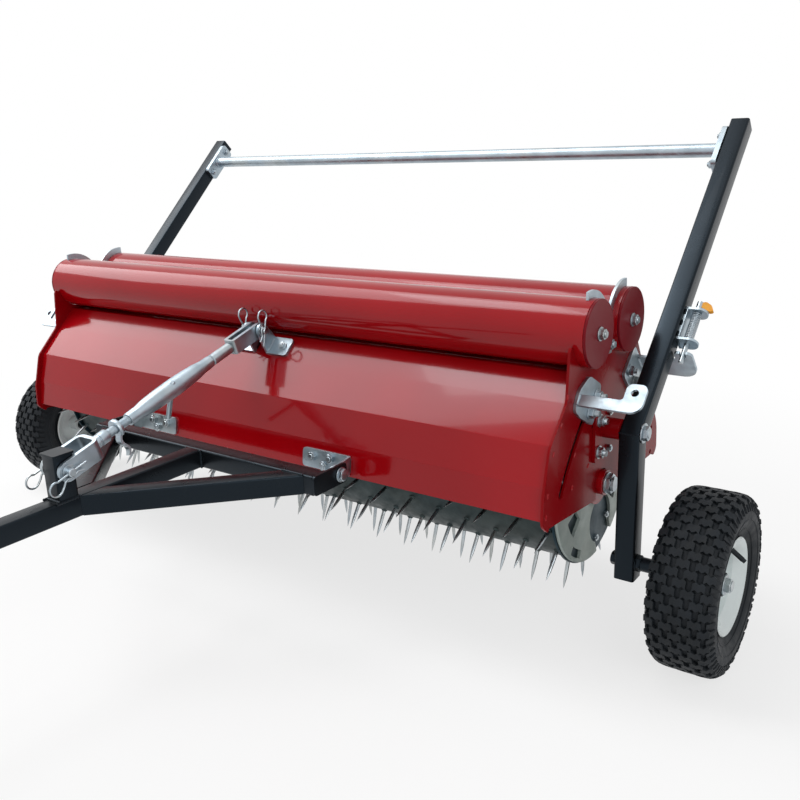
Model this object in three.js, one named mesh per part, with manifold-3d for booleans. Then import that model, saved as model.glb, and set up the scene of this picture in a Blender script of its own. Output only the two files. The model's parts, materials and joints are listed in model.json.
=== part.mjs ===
// Towed spike aerator: a spiked drum under a folded hood, two ballast tubes, a lift frame with
// two wheels, a hinged drawbar and a turnbuckle top link. Millimetres, +X right, +Y rear, +Z up.
// Every point is first placed from the axis of the lift frame's pivots, level with the machine.
import * as THREE from "three";
import { mergeVertices } from "three/addons/utils/BufferGeometryUtils.js";
import Module from "manifold-3d";

const wasm = await Module();
wasm.setup();

// Clearances
const FIT = 0.3;
const OVERRUN = 4;
const QUARTER = Math.PI / 2;
const CURVE_TURN = Math.PI / 7;
const CORNER_SHARE = 0.45;
const WELD = 1e-4;

// Sides of round pieces, from drums and tubes down to shanks of bolts
const SIDES = { drum: 44, tube: 32, wheel: 24, round: 16, rod: 12, bolt: 8, shank: 6, spike: 3 };
const HEX = 6;
const rad = (deg) => (deg * Math.PI) / 180;

// Fasteners: across-corner radius of a head, its height, washer radius and thickness, shank
const PLAIN_BOLT = { head: 8, high: 7, washer: 6, washerThick: 1, shank: 4.5 };
const BOLT = { head: 10.5, high: 8, washer: 13, washerThick: 2.5, shank: 6 };
const SMALL_BOLT = { head: 8, high: 6, washer: 10, washerThick: 2, shank: 4.5 };

// Drum, its spikes and its ends
const DRUM = { y: 8, z: -115, r: 158, wall: 4, inset: 28, disc: 5, over: 8, shaft: 15 };
const SPIKE = { reach: 62, wide: 6, thick: 4.5, root: 3, rings: 24, perRing: 15, edge: 11, ringsPerPitch: 5 };
const SPIDER = { thick: 6, over: 5, hub: 48, lobes: 3, lobeDeg: 78, gapFloor: 62 };
const SPIDER_WINDOW = { from: 66, to: 18, halfDeg: 9, atDeg: 14 };
const SPIDER_SLOT = { from: 40, to: 6, halfDeg: 5, atDeg: -22 };
const BEARING = { flange: 46, thick: 6, boss: 25, out: 10 };
const SHAFT_END = { washer: 21, washerThick: 4, nut: 16, nutHigh: 9, gap: 4 };
const drumReach = DRUM.r + SPIKE.reach;

// Hood: half width over the side plates, sheet, and the room that its folds leave round the spikes
const HOOD = { half: 750, room: 60, headroom: 21.72, plate: 5, sheet: 3, notch: 27, bottom: 29 };
const TOP_SHARE = 0.384;
const hoodDepth = 2 * (drumReach + HOOD.room);
const hoodTop = DRUM.z + drumReach + HOOD.headroom;
const hoodHeight = hoodTop / TOP_SHARE;
const hoodPlateFrontShares = [
  [-0.396, -0.406],
  [-0.436, -0.345],
  [-0.43, -0.182],
  [-0.39, 0.064],
  [-0.275, 0.262],
];
const hoodPlateRearShares = [
  [0.334, 0.312],
  [0.5, -0.115],
  [0.541, -0.239],
  [0.55, -0.415],
  [0.515, -0.462],
];
const hoodSheetShares = [
  [-0.42, -0.33],
  [-0.405, -0.15],
  [-0.368, 0.064],
  [-0.26, 0.25],
  [-0.176, TOP_SHARE],
  [0.192, TOP_SHARE],
  [0.312, 0.3],
  [0.485, -0.11],
  [0.512, -0.22],
];
const REAR_HOLE = { r: 5, in: 39, high: -80, low: -134 };

// Ballast tubes and their end discs
const TUBE = { r: 62.4, wall: 3, over: 16, disc: 5, spigot: 12, rim: 4.4, gap: 26.2, frontRun: 72 };
TUBE.above = 5.88;
TUBE.rearDrop = 1.5;
const CRADLE = { lip: 53.28, front: 11.2, frontDrop: 16.8, rear: 6.44, rearDrop: 25.2 };
const tubeFrontY = -TUBE.frontRun;
const tubeFrontZ = hoodTop + TUBE.r + TUBE.above;
const tubeRearY = tubeFrontY + 2 * TUBE.r + TUBE.gap;
const tubeRearZ = tubeFrontZ - TUBE.rearDrop;
const cradleTop = hoodTop + CRADLE.lip;

// Clamp plates with two hooks each
const CLAMP = { thick: 5, band: 21, frontTip: 114, rearTip: 84, low: 13.28, stem: 19 };
const CLAMP_BOLT = { off: 0.5, up: 33.28 };
const clampLow = hoodTop + CLAMP.low;
const clampBoltY = (tubeFrontY + tubeRearY) / 2 + CLAMP_BOLT.off;
const clampBoltZ = hoodTop + CLAMP_BOLT.up;

// Slot of the depth stop: an arc through a point of the side plate, where the stop's bolts are
const SLOT = { atY: -58.5, atZ: 60.6, atDeg: 130.4, r: 530, wide: 14, rear: 35, front: 181 };
const STOP = { thick: 6, leanDeg: 45, beyond: 0.4815, under: -37.5, leg: 22, clear: 3, wide: 37 };
STOP.head = 19;
STOP.corner = 12;
STOP.hole = { in: 20, off: 1, r: 7 };
STOP.boltApart = 37;
STOP.flange = { size: 120, thick: 6 };
const stopFlangeShares = [
  [0.3175, 0.225],
  [-0.1325, 0.475],
  [-0.4925, 0.335],
  [-0.6425, 0.055],
  [-0.4425, -0.105],
  [0.0075, -0.355],
];

// Lift frame: box arms bent near the pivot, cross tube, axles
const ARM = { box: 40, wall: 3, gap: 41, leanDeg: 46.4, aboveBend: 8.6, top: 790, foot: -298 };
const PIN = { r: 10, head: 15, high: 9, washer: 19, washerThick: 3 };
const PIVOT_BRACKET = { thick: 6, boss: 20, frontY: -44, rearY: 30, low: -62, high: 38, corner: 10 };
const PIVOT_BOLTS = [
  [-26, 20],
  [-28, -42],
];
const CROSS = { r: 13.5, wall: 2.5, fromTop: 74, flangeLong: 110, flangeWide: 44, flange: 6 };
CROSS.boltGap = 42;
const AXLE = { r: 10, y: -4, z: -262, head: 14, high: 9, spacer: 14, nutHigh: 10, washer: 17 };
AXLE.washerThick = 3;

// Wheels
const WHEEL = { out: 131, r: 170, wide: 124, rim: 92, hub: 21, hubHalf: 34 };
const RIM = { halfShare: 0.4032, slopeShare: 0.242, drop: 22, skin: 3.5, web: 5, coneIn: 12 };
const BEAD = { lowShare: 0.3065, highShare: 0.36, lift: 1.4 };
// Shares of the tyre's width, and of its height over the rim's edge
const tyreShares = [
  [0.38, 0.026],
  [0.495, 0.303],
  [0.495, 0.673],
  [0.42, 0.902],
  [0.18, 1],
];
const tyreInnerShares = [
  [0.35, 0.172],
  [0.39, 0.673],
];

// Latch on the outer face of each arm, measured along the arm and square to it from the pivot
const LATCH = { thick: 5, from: 212, to: 289, wide: 34, reach: 42, out: 19, off: 14 };
LATCH.pin = 5;
LATCH.below = 44;
LATCH.above = 24;
LATCH.collar = { r: 9, thick: 4 };
LATCH.corner = 6;
const TAB = { wide: 30, long: 22, thick: 4, gap: 2 };
const SPRING = { wire: 1.1, r: 8, curls: 12, steps: 8, sides: 5 };
const CATCH = { thick: 6, under: 28, gap: 7.8, back: 88, lip: 6, beyond: 18, corner: 14, slot: 12 };
CATCH.flange = { thick: 6, long: 66, offFrom: 2, offTo: 74, corner: 10 };
CATCH.bolts = [20, 58];
CATCH.boltUp = 24;

// Drawbar
const BAR = { box: 40, wall: 3, long: 994, hingeRun: 79, crossHalf: 325, drain: 3, brace: 289 };
BAR.endPlate = 6;
BAR.endRun = 19;
const POST = { run: 329, high: 86, cap: 2.5, lip: 1.5 };
const HINGE = { up: 15.83, out: 44.455, lug: 5, gap: 4, r: 8, wide: 112, tall: 46, corner: 9 };
HINGE.face = 5;
HINGE.bolts = [
  [0.2, 0.62],
  [0.62, 0.62],
  [0.52, 0.2],
];
const HITCH = { plate: 8, wide: 60, long: 120, pin: 9, grip: 28, gripThick: 6, below: 6 };

// Top link, measured along its own axis from the rear pin
const LINK = { pinFromSeat: 48.98, pinAlong: 8, pinOverBar: 56, pin: 8, stud: 9, bore: 9.4 };
LINK.rearFork = { half: 15, thick: 8, tall: 32, length: 82 };
LINK.frontFork = { gap: 2, thick: 8, tall: 38, length: 80, corner: 18 };
LINK.sleeveFrom = 144;
LINK.frontRoom = 165.4;
LINK.sleeveEnd = 13;
LINK.sleeveMid = 16.5;
LINK.engage = 45;
LINK.tommy = { r: 5.5, half: 64, share: 0.5415, deg: 21 };
LINK.ring = { gap: 25, long: 16, r: 18, handle: 4, handleLong: 52, handleDeg: 150 };
LINK.slack = 3;
const EAR = { thick: 6, gap: 2, wide: 44, foot: 60, footThick: 6, boltAt: 40, corner: 14 };
const PIN_OVER = 12;

// Places across the machine, outwards from the side plates
const tubeHalf = HOOD.half + TUBE.over;
const drumHalf = HOOD.half - DRUM.inset;
const armInner = HOOD.half + ARM.gap;
const armOuter = armInner + ARM.box;
const wheelX = armOuter + WHEEL.out;
const latchX = armOuter + LATCH.out;
const stopInner = armOuter + STOP.clear;
const stopOuter = stopInner + STOP.wide;
const hingeLug = BAR.crossHalf - HINGE.gap - HINGE.lug;
const slotY = SLOT.atY - SLOT.r * Math.cos(rad(SLOT.atDeg));
const slotZ = SLOT.atZ - SLOT.r * Math.sin(rad(SLOT.atDeg));
const slotDeg = (run) => SLOT.atDeg + (run / SLOT.r / Math.PI) * 180;

// Solids
const weld = (geometry) => {
  const g = geometry.clone();
  g.deleteAttribute("normal");
  g.deleteAttribute("uv");
  const merged = mergeVertices(g, WELD);
  return new wasm.Manifold(
    new wasm.Mesh({
      numProp: 3,
      vertProperties: merged.attributes.position.array,
      triVerts: new Uint32Array(merged.index.array),
    }),
  );
};

const surface = (solid) => {
  const m = solid.getMesh();
  const position = new Float32Array(m.numVert * 3);
  for (let i = 0; i < m.numVert; i++) {
    const at = i * m.numProp;
    position.set(m.vertProperties.subarray(at, at + 3), i * 3);
  }
  return new THREE.BufferGeometry()
    .setAttribute("position", new THREE.BufferAttribute(position, 3))
    .setIndex(new THREE.BufferAttribute(m.triVerts, 1));
};

const join = (...solids) => solids.flat().reduce((a, b) => a.add(b));
const cut = (solid, ...tools) => tools.flat().reduce((a, b) => a.subtract(b), solid);

// Outlines
const shapeOf = (points) => new THREE.Shape(points.map(([a, b]) => new THREE.Vector2(a, b)));

const arc = (a, b, r, fromDeg, toDeg, steps) =>
  Array.from({ length: steps + 1 }, (_, i) => {
    const t = rad(fromDeg + ((toDeg - fromDeg) * i) / steps);
    return [a + r * Math.cos(t), b + r * Math.sin(t)];
  });

// An arc whose chords stay outside a round piece that lies in it
const hug = (a, b, r, fromDeg, toDeg, steps) =>
  arc(a, b, r / Math.cos(rad((toDeg - fromDeg) / steps / 2)), fromDeg, toDeg, steps);

// Corners are rounded, and the points of a curve are left as they are
const rounded = (points, radius, steps = 2) =>
  points.flatMap((p, i) => {
    const here = new THREE.Vector2(...p);
    const before = new THREE.Vector2(...points.at(i - 1)).sub(here);
    const after = new THREE.Vector2(...points[(i + 1) % points.length]).sub(here);
    if (Math.PI - before.angleTo(after) < CURVE_TURN) return [p];
    const room = Math.min(radius, before.length() * CORNER_SHARE, after.length() * CORNER_SHARE);
    const from = before.setLength(room).add(here);
    const to = after.setLength(room).add(here);
    return Array.from({ length: steps + 1 }, (_, k) => {
      const t = k / steps;
      const q = from.clone().multiplyScalar((1 - t) ** 2);
      q.addScaledVector(here, 2 * t * (1 - t));
      q.addScaledVector(to, t ** 2);
      return [q.x, q.y];
    });
  });

const box2 = (a0, a1, b0, b1) => [
  [a0, b0],
  [a1, b0],
  [a1, b1],
  [a0, b1],
];

const AXES = {
  x: [new THREE.Vector3(0, 1, 0), new THREE.Vector3(0, 0, 1), new THREE.Vector3(1, 0, 0)],
  y: [new THREE.Vector3(0, 0, 1), new THREE.Vector3(1, 0, 0), new THREE.Vector3(0, 1, 0)],
  z: [new THREE.Vector3(1, 0, 0), new THREE.Vector3(0, 1, 0), new THREE.Vector3(0, 0, 1)],
};

// A slab of an outline: along x the outline is (y, z), along y it is (z, x), along z it is (x, y)
const slab = (axis, points, from, to) => {
  const g = new THREE.ExtrudeGeometry(shapeOf(points), { depth: to - from, bevelEnabled: false });
  g.translate(0, 0, from);
  g.applyMatrix4(new THREE.Matrix4().makeBasis(...AXES[axis]));
  return weld(g);
};

// A rod along an axis, centred on (a, b) in the outline plane of that axis
const rod = (axis, a, b, r, from, to, sides = SIDES.rod) => {
  const g = new THREE.CylinderGeometry(r, r, to - from, sides);
  g.rotateX(QUARTER);
  g.translate(a, b, (from + to) / 2);
  g.applyMatrix4(new THREE.Matrix4().makeBasis(...AXES[axis]));
  return weld(g);
};

const hex = (axis, a, b, r, from, to) => rod(axis, a, b, r, from, to, HEX);

// The tool for a bore, whose flats stay outside a round piece that turns in it
const bore = (axis, a, b, r, from, to, sides = SIDES.rod) =>
  rod(axis, a, b, r / Math.cos(Math.PI / sides), from, to, sides);

// A revolve about an axis: profile points are [distance along the axis, radius], closed
const revolve = (axis, a, b, profile, sides) => {
  const points = [...profile, profile[0]].map(([d, r]) => new THREE.Vector2(r, d));
  const g = new THREE.LatheGeometry(points, sides);
  g.rotateX(QUARTER);
  g.translate(a, b, 0);
  g.applyMatrix4(new THREE.Matrix4().makeBasis(...AXES[axis]));
  const solid = weld(g);
  if (solid.volume() > 0) return solid;
  const turned = new THREE.LatheGeometry(points.toReversed(), sides);
  turned.rotateX(QUARTER);
  turned.translate(a, b, 0);
  turned.applyMatrix4(new THREE.Matrix4().makeBasis(...AXES[axis]));
  return weld(turned);
};

const ordered = (p, q) => [Math.min(p, q), Math.max(p, q)];

// A bolt head with its washer on a face, and a shank behind it
const boltHead = (axis, a, b, face, way, size, shank) => {
  const span = (d0, d1) => ordered(face + way * d0, face + way * d1);
  return join(
    rod(axis, a, b, size.washer, ...span(0, size.washerThick), SIDES.bolt),
    hex(axis, a, b, size.head, ...span(0, size.washerThick + size.high)),
    rod(axis, a, b, size.shank, ...span(-shank, size.high), SIDES.shank),
  );
};

// Materials
const paint = (color, roughness, metalness) =>
  new THREE.MeshStandardMaterial({ color, roughness, metalness });
const looks = {
  red: () => paint(0x9a0414, 0.25, 0.1),
  black: () => paint(0x14181c, 0.4, 0.1),
  zinc: () => paint(0xb4bcc2, 0.35, 0.9),
  drum: () => paint(0x6c7372, 0.45, 0.8),
  dark: () => paint(0x35454f, 0.4, 0.7),
  tyre: () => paint(0x1b2124, 0.9, 0),
  rim: () => paint(0xe6e2d6, 0.4, 0.1),
  amber: () => paint(0xf09a1c, 0.4, 0),
};

const machine = new THREE.Group();
const sides = { right: new THREE.Group(), left: new THREE.Group() };
sides.left.scale.x = -1;
machine.add(sides.right, sides.left);

const add = (name, solid, look, parent = machine) => {
  const mesh = new THREE.Mesh(surface(solid), looks[look]());
  mesh.name = name;
  parent.add(mesh);
  return mesh;
};

// Frames turned about the pivot axis: leaning back with the arm, or forward with the depth stop
const turned = (parent, deg) => {
  const group = new THREE.Group();
  group.rotation.x = rad(deg);
  parent.add(group);
  return group;
};
const lean = rad(ARM.leanDeg);
const along = (off, t) => [
  off * Math.cos(lean) + t * Math.sin(lean),
  t * Math.cos(lean) - off * Math.sin(lean),
];
const armShift = ARM.aboveBend * Math.sin(lean);
const armFront = armShift - ARM.box / 2;
const armRear = armShift + ARM.box / 2;

// Hood sheet, folded from one strip, with the same thickness all along
const scaled = (shares) => shares.map(([a, b]) => [a * hoodDepth, b * hoodHeight]);

const strip = (points, thickness) => {
  const inner = points.map((p, i) => {
    const back = points[Math.max(i - 1, 0)];
    const next = points[Math.min(i + 1, points.length - 1)];
    const d0 = new THREE.Vector2(p[0] - back[0], p[1] - back[1]).normalize();
    const d1 = new THREE.Vector2(next[0] - p[0], next[1] - p[1]).normalize();
    const d = d0.clone().add(d1).normalize();
    const stretch = thickness / Math.max(d.dot(d1), d.dot(d0));
    return [p[0] + d.y * stretch, p[1] - d.x * stretch];
  });
  return [...points, ...inner.toReversed()];
};

const sheetLine = scaled(hoodSheetShares);
const sheetHalf = HOOD.half - HOOD.plate - FIT;

// The lower front fold carries the drawbar's hinges, and the one over it the top link's ears
const [apronFoot, apronCrest, , foldFoot, foldCrest] = sheetLine;
const apronLow = new THREE.Vector2(...apronFoot);
const apronHigh = new THREE.Vector2(...apronCrest);
const apronUp = apronHigh.clone().sub(apronLow).normalize();
const apronOut = new THREE.Vector2(-apronUp.y, apronUp.x);
const apronAt = (up, out) => {
  const p = apronLow.clone().addScaledVector(apronUp, up).addScaledVector(apronOut, out);
  return [p.x, p.y];
};
const [hingeY, hingeZ] = apronAt(HINGE.up, HINGE.out);
const foldLow = new THREE.Vector2(...foldFoot);
const foldHigh = new THREE.Vector2(...foldCrest);
const foldUp = foldHigh.clone().sub(foldLow).normalize();
const foldOut = new THREE.Vector2(-foldUp.y, foldUp.x);
const foldMiddle = foldLow.clone().add(foldHigh).multiplyScalar(1 / 2);
const earSeat = foldMiddle.clone().addScaledVector(foldOut, FIT);
const linkRear = earSeat.clone();
linkRear.addScaledVector(foldOut, LINK.pinFromSeat).addScaledVector(foldUp, LINK.pinAlong);

// The drawbar runs forwards from its hinges
const barTop = hingeZ + BAR.box / 2;
const barCross = hingeY - BAR.hingeRun;
const barFront = barCross - BAR.long;
const barDiagonal = barCross - BAR.brace;
const barEnd = hingeY + BAR.endRun;
const postFront = barCross - POST.run;
const postHigh = barTop + POST.high;
const linkFrontY = postFront + BAR.box / 2;
const linkFrontZ = barTop + LINK.pinOverBar;
const linkRun = new THREE.Vector2(linkRear.x - linkFrontY, linkRear.y - linkFrontZ);
const sleeveTo = linkRun.length() - LINK.frontRoom;
const tommyAt = LINK.sleeveFrom + LINK.tommy.share * (sleeveTo - LINK.sleeveFrom);
const ringAt = sleeveTo + LINK.ring.gap;

// The catch plate hangs under the latch, measured along the arm
const catchAlong = LATCH.from - CATCH.under;
const catchFrom = catchAlong - CATCH.flange.long;
const catchBolt = catchFrom + CATCH.boltUp;
const catchEdge = armRear + CATCH.gap;

add("hood_sheet", slab("x", strip(sheetLine, HOOD.sheet), -sheetHalf, sheetHalf), "red");

// Side plates with cradles, curved slot, bearing notch and pivot hole
const plateInner = HOOD.half - HOOD.plate;
const cradle = TUBE.r + FIT;
const cradleDeg = (y, z, top) => (Math.asin((top - z) / cradle) * 180) / Math.PI;
const frontPlate = [
  ...scaled(hoodPlateFrontShares),
  [tubeFrontY - TUBE.r - CRADLE.front, tubeFrontZ - CRADLE.frontDrop],
];
const rearPlate = [
  [tubeRearY + TUBE.r + CRADLE.rear, tubeRearZ - CRADLE.rearDrop],
  ...scaled(hoodPlateRearShares),
];
const bottomEdge = DRUM.z - HOOD.bottom;
const rearHoleY = rearPlate.at(-2)[0] - REAR_HOLE.in;
const frontLow = cradleDeg(tubeFrontY, tubeFrontZ, frontPlate.at(-1)[1]);
const frontCrest = cradleDeg(tubeFrontY, tubeFrontZ, cradleTop);
const rearCrest = cradleDeg(tubeRearY, tubeRearZ, cradleTop);
const rearLow = cradleDeg(tubeRearY, tubeRearZ, rearPlate[0][1]);
const plateOutline = [
  ...frontPlate,
  ...hug(tubeFrontY, tubeFrontZ, cradle, 180 - frontLow, 360 + frontCrest, 12),
  ...hug(tubeRearY, tubeRearZ, cradle, 180 - rearCrest, 360 + rearLow, 12),
  ...rearPlate,
  [DRUM.y + HOOD.notch, bottomEdge],
  ...arc(DRUM.y, DRUM.z, HOOD.notch, 0, 180, 8),
  [DRUM.y - HOOD.notch, bottomEdge],
];
const slotBand = (half, fromDeg, toDeg, steps) => [
  ...arc(slotY, slotZ, SLOT.r + half, fromDeg, toDeg, steps),
  ...arc(slotY, slotZ, SLOT.r - half, toDeg, fromDeg, steps),
];
const boltDrop = HOOD.plate;
const plateThrough = [plateInner - OVERRUN, HOOD.half + OVERRUN];
const sidePlate = cut(
  slab("x", plateOutline.toReversed(), plateInner, HOOD.half),
  slab("x", slotBand(SLOT.wide / 2, slotDeg(-SLOT.rear), slotDeg(SLOT.front), 8), ...plateThrough),
  bore("x", 0, 0, PIN.r + FIT, ...plateThrough),
  rod("x", clampBoltY, clampBoltZ, BOLT.shank + FIT, ...plateThrough, SIDES.shank),
  rod("x", rearHoleY, REAR_HOLE.high, REAR_HOLE.r, ...plateThrough, SIDES.shank),
  rod("x", rearHoleY, REAR_HOLE.low, REAR_HOLE.r, ...plateThrough, SIDES.shank),
  PIVOT_BOLTS.map(([y, z]) => rod("x", y, z, BOLT.shank + FIT, ...plateThrough, SIDES.shank)),
  CATCH.bolts.map((off) =>
    bore("x", ...along(off, catchBolt), SMALL_BOLT.shank + FIT, ...plateThrough, SIDES.shank),
  ),
);

// Ballast tubes
for (const [name, y, z] of [
  ["front", tubeFrontY, tubeFrontZ],
  ["rear", tubeRearY, tubeRearZ],
]) {
  const within = TUBE.r - TUBE.wall;
  const ring = [
    [-tubeHalf, within],
    [tubeHalf, within],
    [tubeHalf, TUBE.r],
    [-tubeHalf, TUBE.r],
  ];
  add(name + "_tube", revolve("x", y, z, ring, SIDES.tube), "red");
  const face = tubeHalf + FIT;
  for (const side of ["right", "left"]) {
    const cap = join(
      rod("x", y, z, TUBE.r, face, face + TUBE.disc, SIDES.tube),
      rod("x", y, z, TUBE.r - TUBE.rim, face - TUBE.spigot, face + TUBE.disc),
      boltHead("x", y, z, face + TUBE.disc, 1, BOLT, TUBE.disc),
    );
    add(name + "_tube_cap_" + side, cap, "red", sides[side]);
  }
}

// Clamp plate: a stem between the tubes that splits into a hook over each
const hookInner = TUBE.r + FIT;
const hookOuter = hookInner + CLAMP.band;
const gapHalf = (tubeRearY - tubeFrontY) / 2;
const fork = (Math.acos(gapHalf / hookOuter) * 180) / Math.PI;
const stemDeg = (z, half) => (Math.acos(half / hookInner) * 180) / Math.PI;
const frontStem = -stemDeg(tubeFrontZ, clampBoltY - CLAMP.stem - tubeFrontY);
const rearStem = stemDeg(tubeRearZ, tubeRearY - clampBoltY - CLAMP.stem);
const clampOutline = [
  [clampBoltY - CLAMP.stem, clampLow],
  [clampBoltY + CLAMP.stem, clampLow],
  ...hug(tubeRearY, tubeRearZ, hookInner, 180 + rearStem, CLAMP.rearTip, 10),
  ...arc(tubeRearY, tubeRearZ, hookOuter, CLAMP.rearTip, 180 - fork, 8),
  ...arc(tubeFrontY, tubeFrontZ, hookOuter, fork, CLAMP.frontTip, 8),
  ...hug(tubeFrontY, tubeFrontZ, hookInner, CLAMP.frontTip, frontStem, 12),
];
const clampFrom = HOOD.half + FIT;
const clamp = join(
  slab("x", clampOutline, clampFrom, clampFrom + CLAMP.thick),
  boltHead("x", clampBoltY, clampBoltZ, clampFrom + CLAMP.thick, 1, SMALL_BOLT, CLAMP.thick + boltDrop),
);

// Drum shell with rings of pointed spikes, each ring turned a little further than the last
const spikeHigh = SPIKE.root + SPIKE.reach;
const spikeBase = new THREE.ConeGeometry(SPIKE.wide, spikeHigh, SIDES.spike);
spikeBase.scale(1, 1, SPIKE.thick / SPIKE.wide);
spikeBase.rotateX(QUARTER);
spikeBase.translate(0, 0, DRUM.r - SPIKE.root + spikeHigh / 2);
const spikes = [];
const ringStep = (2 * (drumHalf - SPIKE.edge)) / (SPIKE.rings - 1);
for (let ring = 0; ring < SPIKE.rings; ring++) {
  for (let k = 0; k < SPIKE.perRing; k++) {
    const turn = ((k + ring / SPIKE.ringsPerPitch) * 2 * Math.PI) / SPIKE.perRing;
    const g = spikeBase.clone().rotateX(turn);
    g.translate(SPIKE.edge - drumHalf + ring * ringStep, DRUM.y, DRUM.z);
    spikes.push(weld(g));
  }
}
const shellRing = [
  [-drumHalf, DRUM.r - DRUM.wall],
  [drumHalf, DRUM.r - DRUM.wall],
  [drumHalf, DRUM.r],
  [-drumHalf, DRUM.r],
];
const spikeUnion = wasm.Manifold.union(spikes);
add("drum_shell", revolve("x", DRUM.y, DRUM.z, shellRing, SIDES.drum).add(spikeUnion), "drum");

// Drum end: a full disc behind an open three-lobed plate
const discFace = drumHalf + FIT;
const drumRim = DRUM.r + DRUM.over;
const drumDisc = cut(
  rod("x", DRUM.y, DRUM.z, drumRim, discFace, discFace + DRUM.disc, SIDES.tube),
  rod("x", DRUM.y, DRUM.z, DRUM.shaft + FIT, discFace - OVERRUN, discFace + DRUM.disc + OVERRUN),
);
const spiderR = DRUM.r + SPIDER.over;
const spiderFace = discFace + DRUM.disc + FIT;
const sector = (near, far, midDeg, halfDeg, steps) => [
  ...arc(DRUM.y, DRUM.z, far, midDeg - halfDeg, midDeg + halfDeg, steps),
  ...arc(DRUM.y, DRUM.z, near, midDeg + halfDeg, midDeg - halfDeg, steps),
];
const lobeStep = 360 / SPIDER.lobes;
const lobeFirst = -90 - SPIDER.lobeDeg / 2;
const gapHalfDeg = (lobeStep - SPIDER.lobeDeg) / 2;
const spiderThrough = [spiderFace - OVERRUN, spiderFace + SPIDER.thick + OVERRUN];
const spiderCuts = [];
for (let i = 0; i < SPIDER.lobes; i++) {
  const mid = lobeFirst + i * lobeStep;
  const gapMid = mid + lobeStep / 2;
  const gap = sector(SPIDER.gapFloor, spiderR + OVERRUN, gapMid, gapHalfDeg, 3);
  spiderCuts.push(slab("x", rounded(gap, SPIDER.hub / 2, 2), ...spiderThrough));
  for (const w of [SPIDER_WINDOW, SPIDER_SLOT]) {
    const opening = sector(DRUM.r - w.from, DRUM.r - w.to, mid + w.atDeg, w.halfDeg, 1);
    spiderCuts.push(slab("x", rounded(opening, (w.from - w.to) / 4, 1), ...spiderThrough));
  }
}
const spider = cut(
  rod("x", DRUM.y, DRUM.z, spiderR, spiderFace, spiderFace + SPIDER.thick, SIDES.tube),
  rod("x", DRUM.y, DRUM.z, DRUM.shaft + FIT, ...spiderThrough),
  spiderCuts,
);
const shaftEnd = plateInner + HOOD.plate + BEARING.out + FIT;
const shaftTip = shaftEnd + SHAFT_END.washerThick + SHAFT_END.nutHigh + SHAFT_END.gap;
add(
  "drum_shaft",
  join(
    rod("x", DRUM.y, DRUM.z, DRUM.shaft, -shaftTip, shaftTip),
    [-1, 1].flatMap((way) => {
      const washer = ordered(way * shaftEnd, way * (shaftEnd + SHAFT_END.washerThick));
      const nut = ordered(way * shaftEnd, way * (shaftTip - SHAFT_END.gap));
      return [
        rod("x", DRUM.y, DRUM.z, SHAFT_END.washer, ...washer),
        hex("x", DRUM.y, DRUM.z, SHAFT_END.nut + SHAFT_END.gap, ...nut),
      ];
    }),
  ),
  "zinc",
);
const bearingFace = plateInner - FIT;
const bearing = cut(
  join(
    rod("x", DRUM.y, DRUM.z, BEARING.flange, bearingFace - BEARING.thick, bearingFace, SIDES.round),
    rod("x", DRUM.y, DRUM.z, BEARING.boss, bearingFace - BEARING.thick, HOOD.half + BEARING.out, SIDES.round),
  ),
  bore("x", DRUM.y, DRUM.z, DRUM.shaft + FIT, plateInner - BEARING.flange, shaftTip),
);

// Pivot bracket on the side plate, and the pin that carries the arm
const bracketFace = HOOD.half + FIT;
const bracketOut = bracketFace + PIVOT_BRACKET.thick;
const pivotBracket = cut(
  join(
    slab(
      "x",
      rounded(
        box2(PIVOT_BRACKET.frontY, PIVOT_BRACKET.rearY, PIVOT_BRACKET.low, PIVOT_BRACKET.high),
        PIVOT_BRACKET.corner,
      ),
      bracketFace,
      bracketOut,
    ),
    rod("x", 0, 0, PIVOT_BRACKET.boss, bracketFace, armInner - FIT),
    PIVOT_BOLTS.map(([y, z]) => boltHead("x", y, z, bracketOut, 1, BOLT, PIVOT_BRACKET.thick + boltDrop)),
  ),
  bore("x", 0, 0, PIN.r + FIT, plateInner - OVERRUN, armInner + OVERRUN),
);
const pinHead = armOuter + FIT;
const pivotPin = join(
  rod("x", 0, 0, PIN.r, plateInner, pinHead + PIN.washerThick),
  rod("x", 0, 0, PIN.washer, pinHead, pinHead + PIN.washerThick, SIDES.round),
  hex("x", 0, 0, PIN.head, pinHead, pinHead + PIN.washerThick + PIN.high),
);

// Arms
const bendAt = (off) => {
  const y = off;
  const shifted = off + armShift;
  return [y, (y * Math.cos(lean) - shifted) / Math.sin(lean)];
};
const armOutline = (inset, topInset, footInset) => {
  const half = ARM.box / 2 - inset;
  return [
    [-half, ARM.foot + footInset],
    [half, ARM.foot + footInset],
    bendAt(half),
    along(armShift + half, ARM.top - topInset),
    along(armShift - half, ARM.top - topInset),
    bendAt(-half),
  ];
};
const crossFlangeX = armInner - FIT;
const crossAlong = ARM.top - CROSS.fromTop;
const flangeBolts = [-CROSS.boltGap, CROSS.boltGap].map((d) => along(armShift, crossAlong + d));
const arm = cut(
  slab("x", armOutline(0, 0, 0), armInner, armOuter),
  slab("x", armOutline(ARM.wall, ARM.wall, -OVERRUN), armInner + ARM.wall, armOuter - ARM.wall),
  bore("x", 0, 0, PIN.r + FIT, armInner - OVERRUN, armOuter + OVERRUN),
  rod("x", AXLE.y, AXLE.z, AXLE.r + FIT, armInner - OVERRUN, armOuter + OVERRUN),
  flangeBolts.map(([y, z]) =>
    rod("x", y, z, SMALL_BOLT.shank + FIT, armInner - OVERRUN, armInner + ARM.wall + OVERRUN, SIDES.shank),
  ),
);

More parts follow.
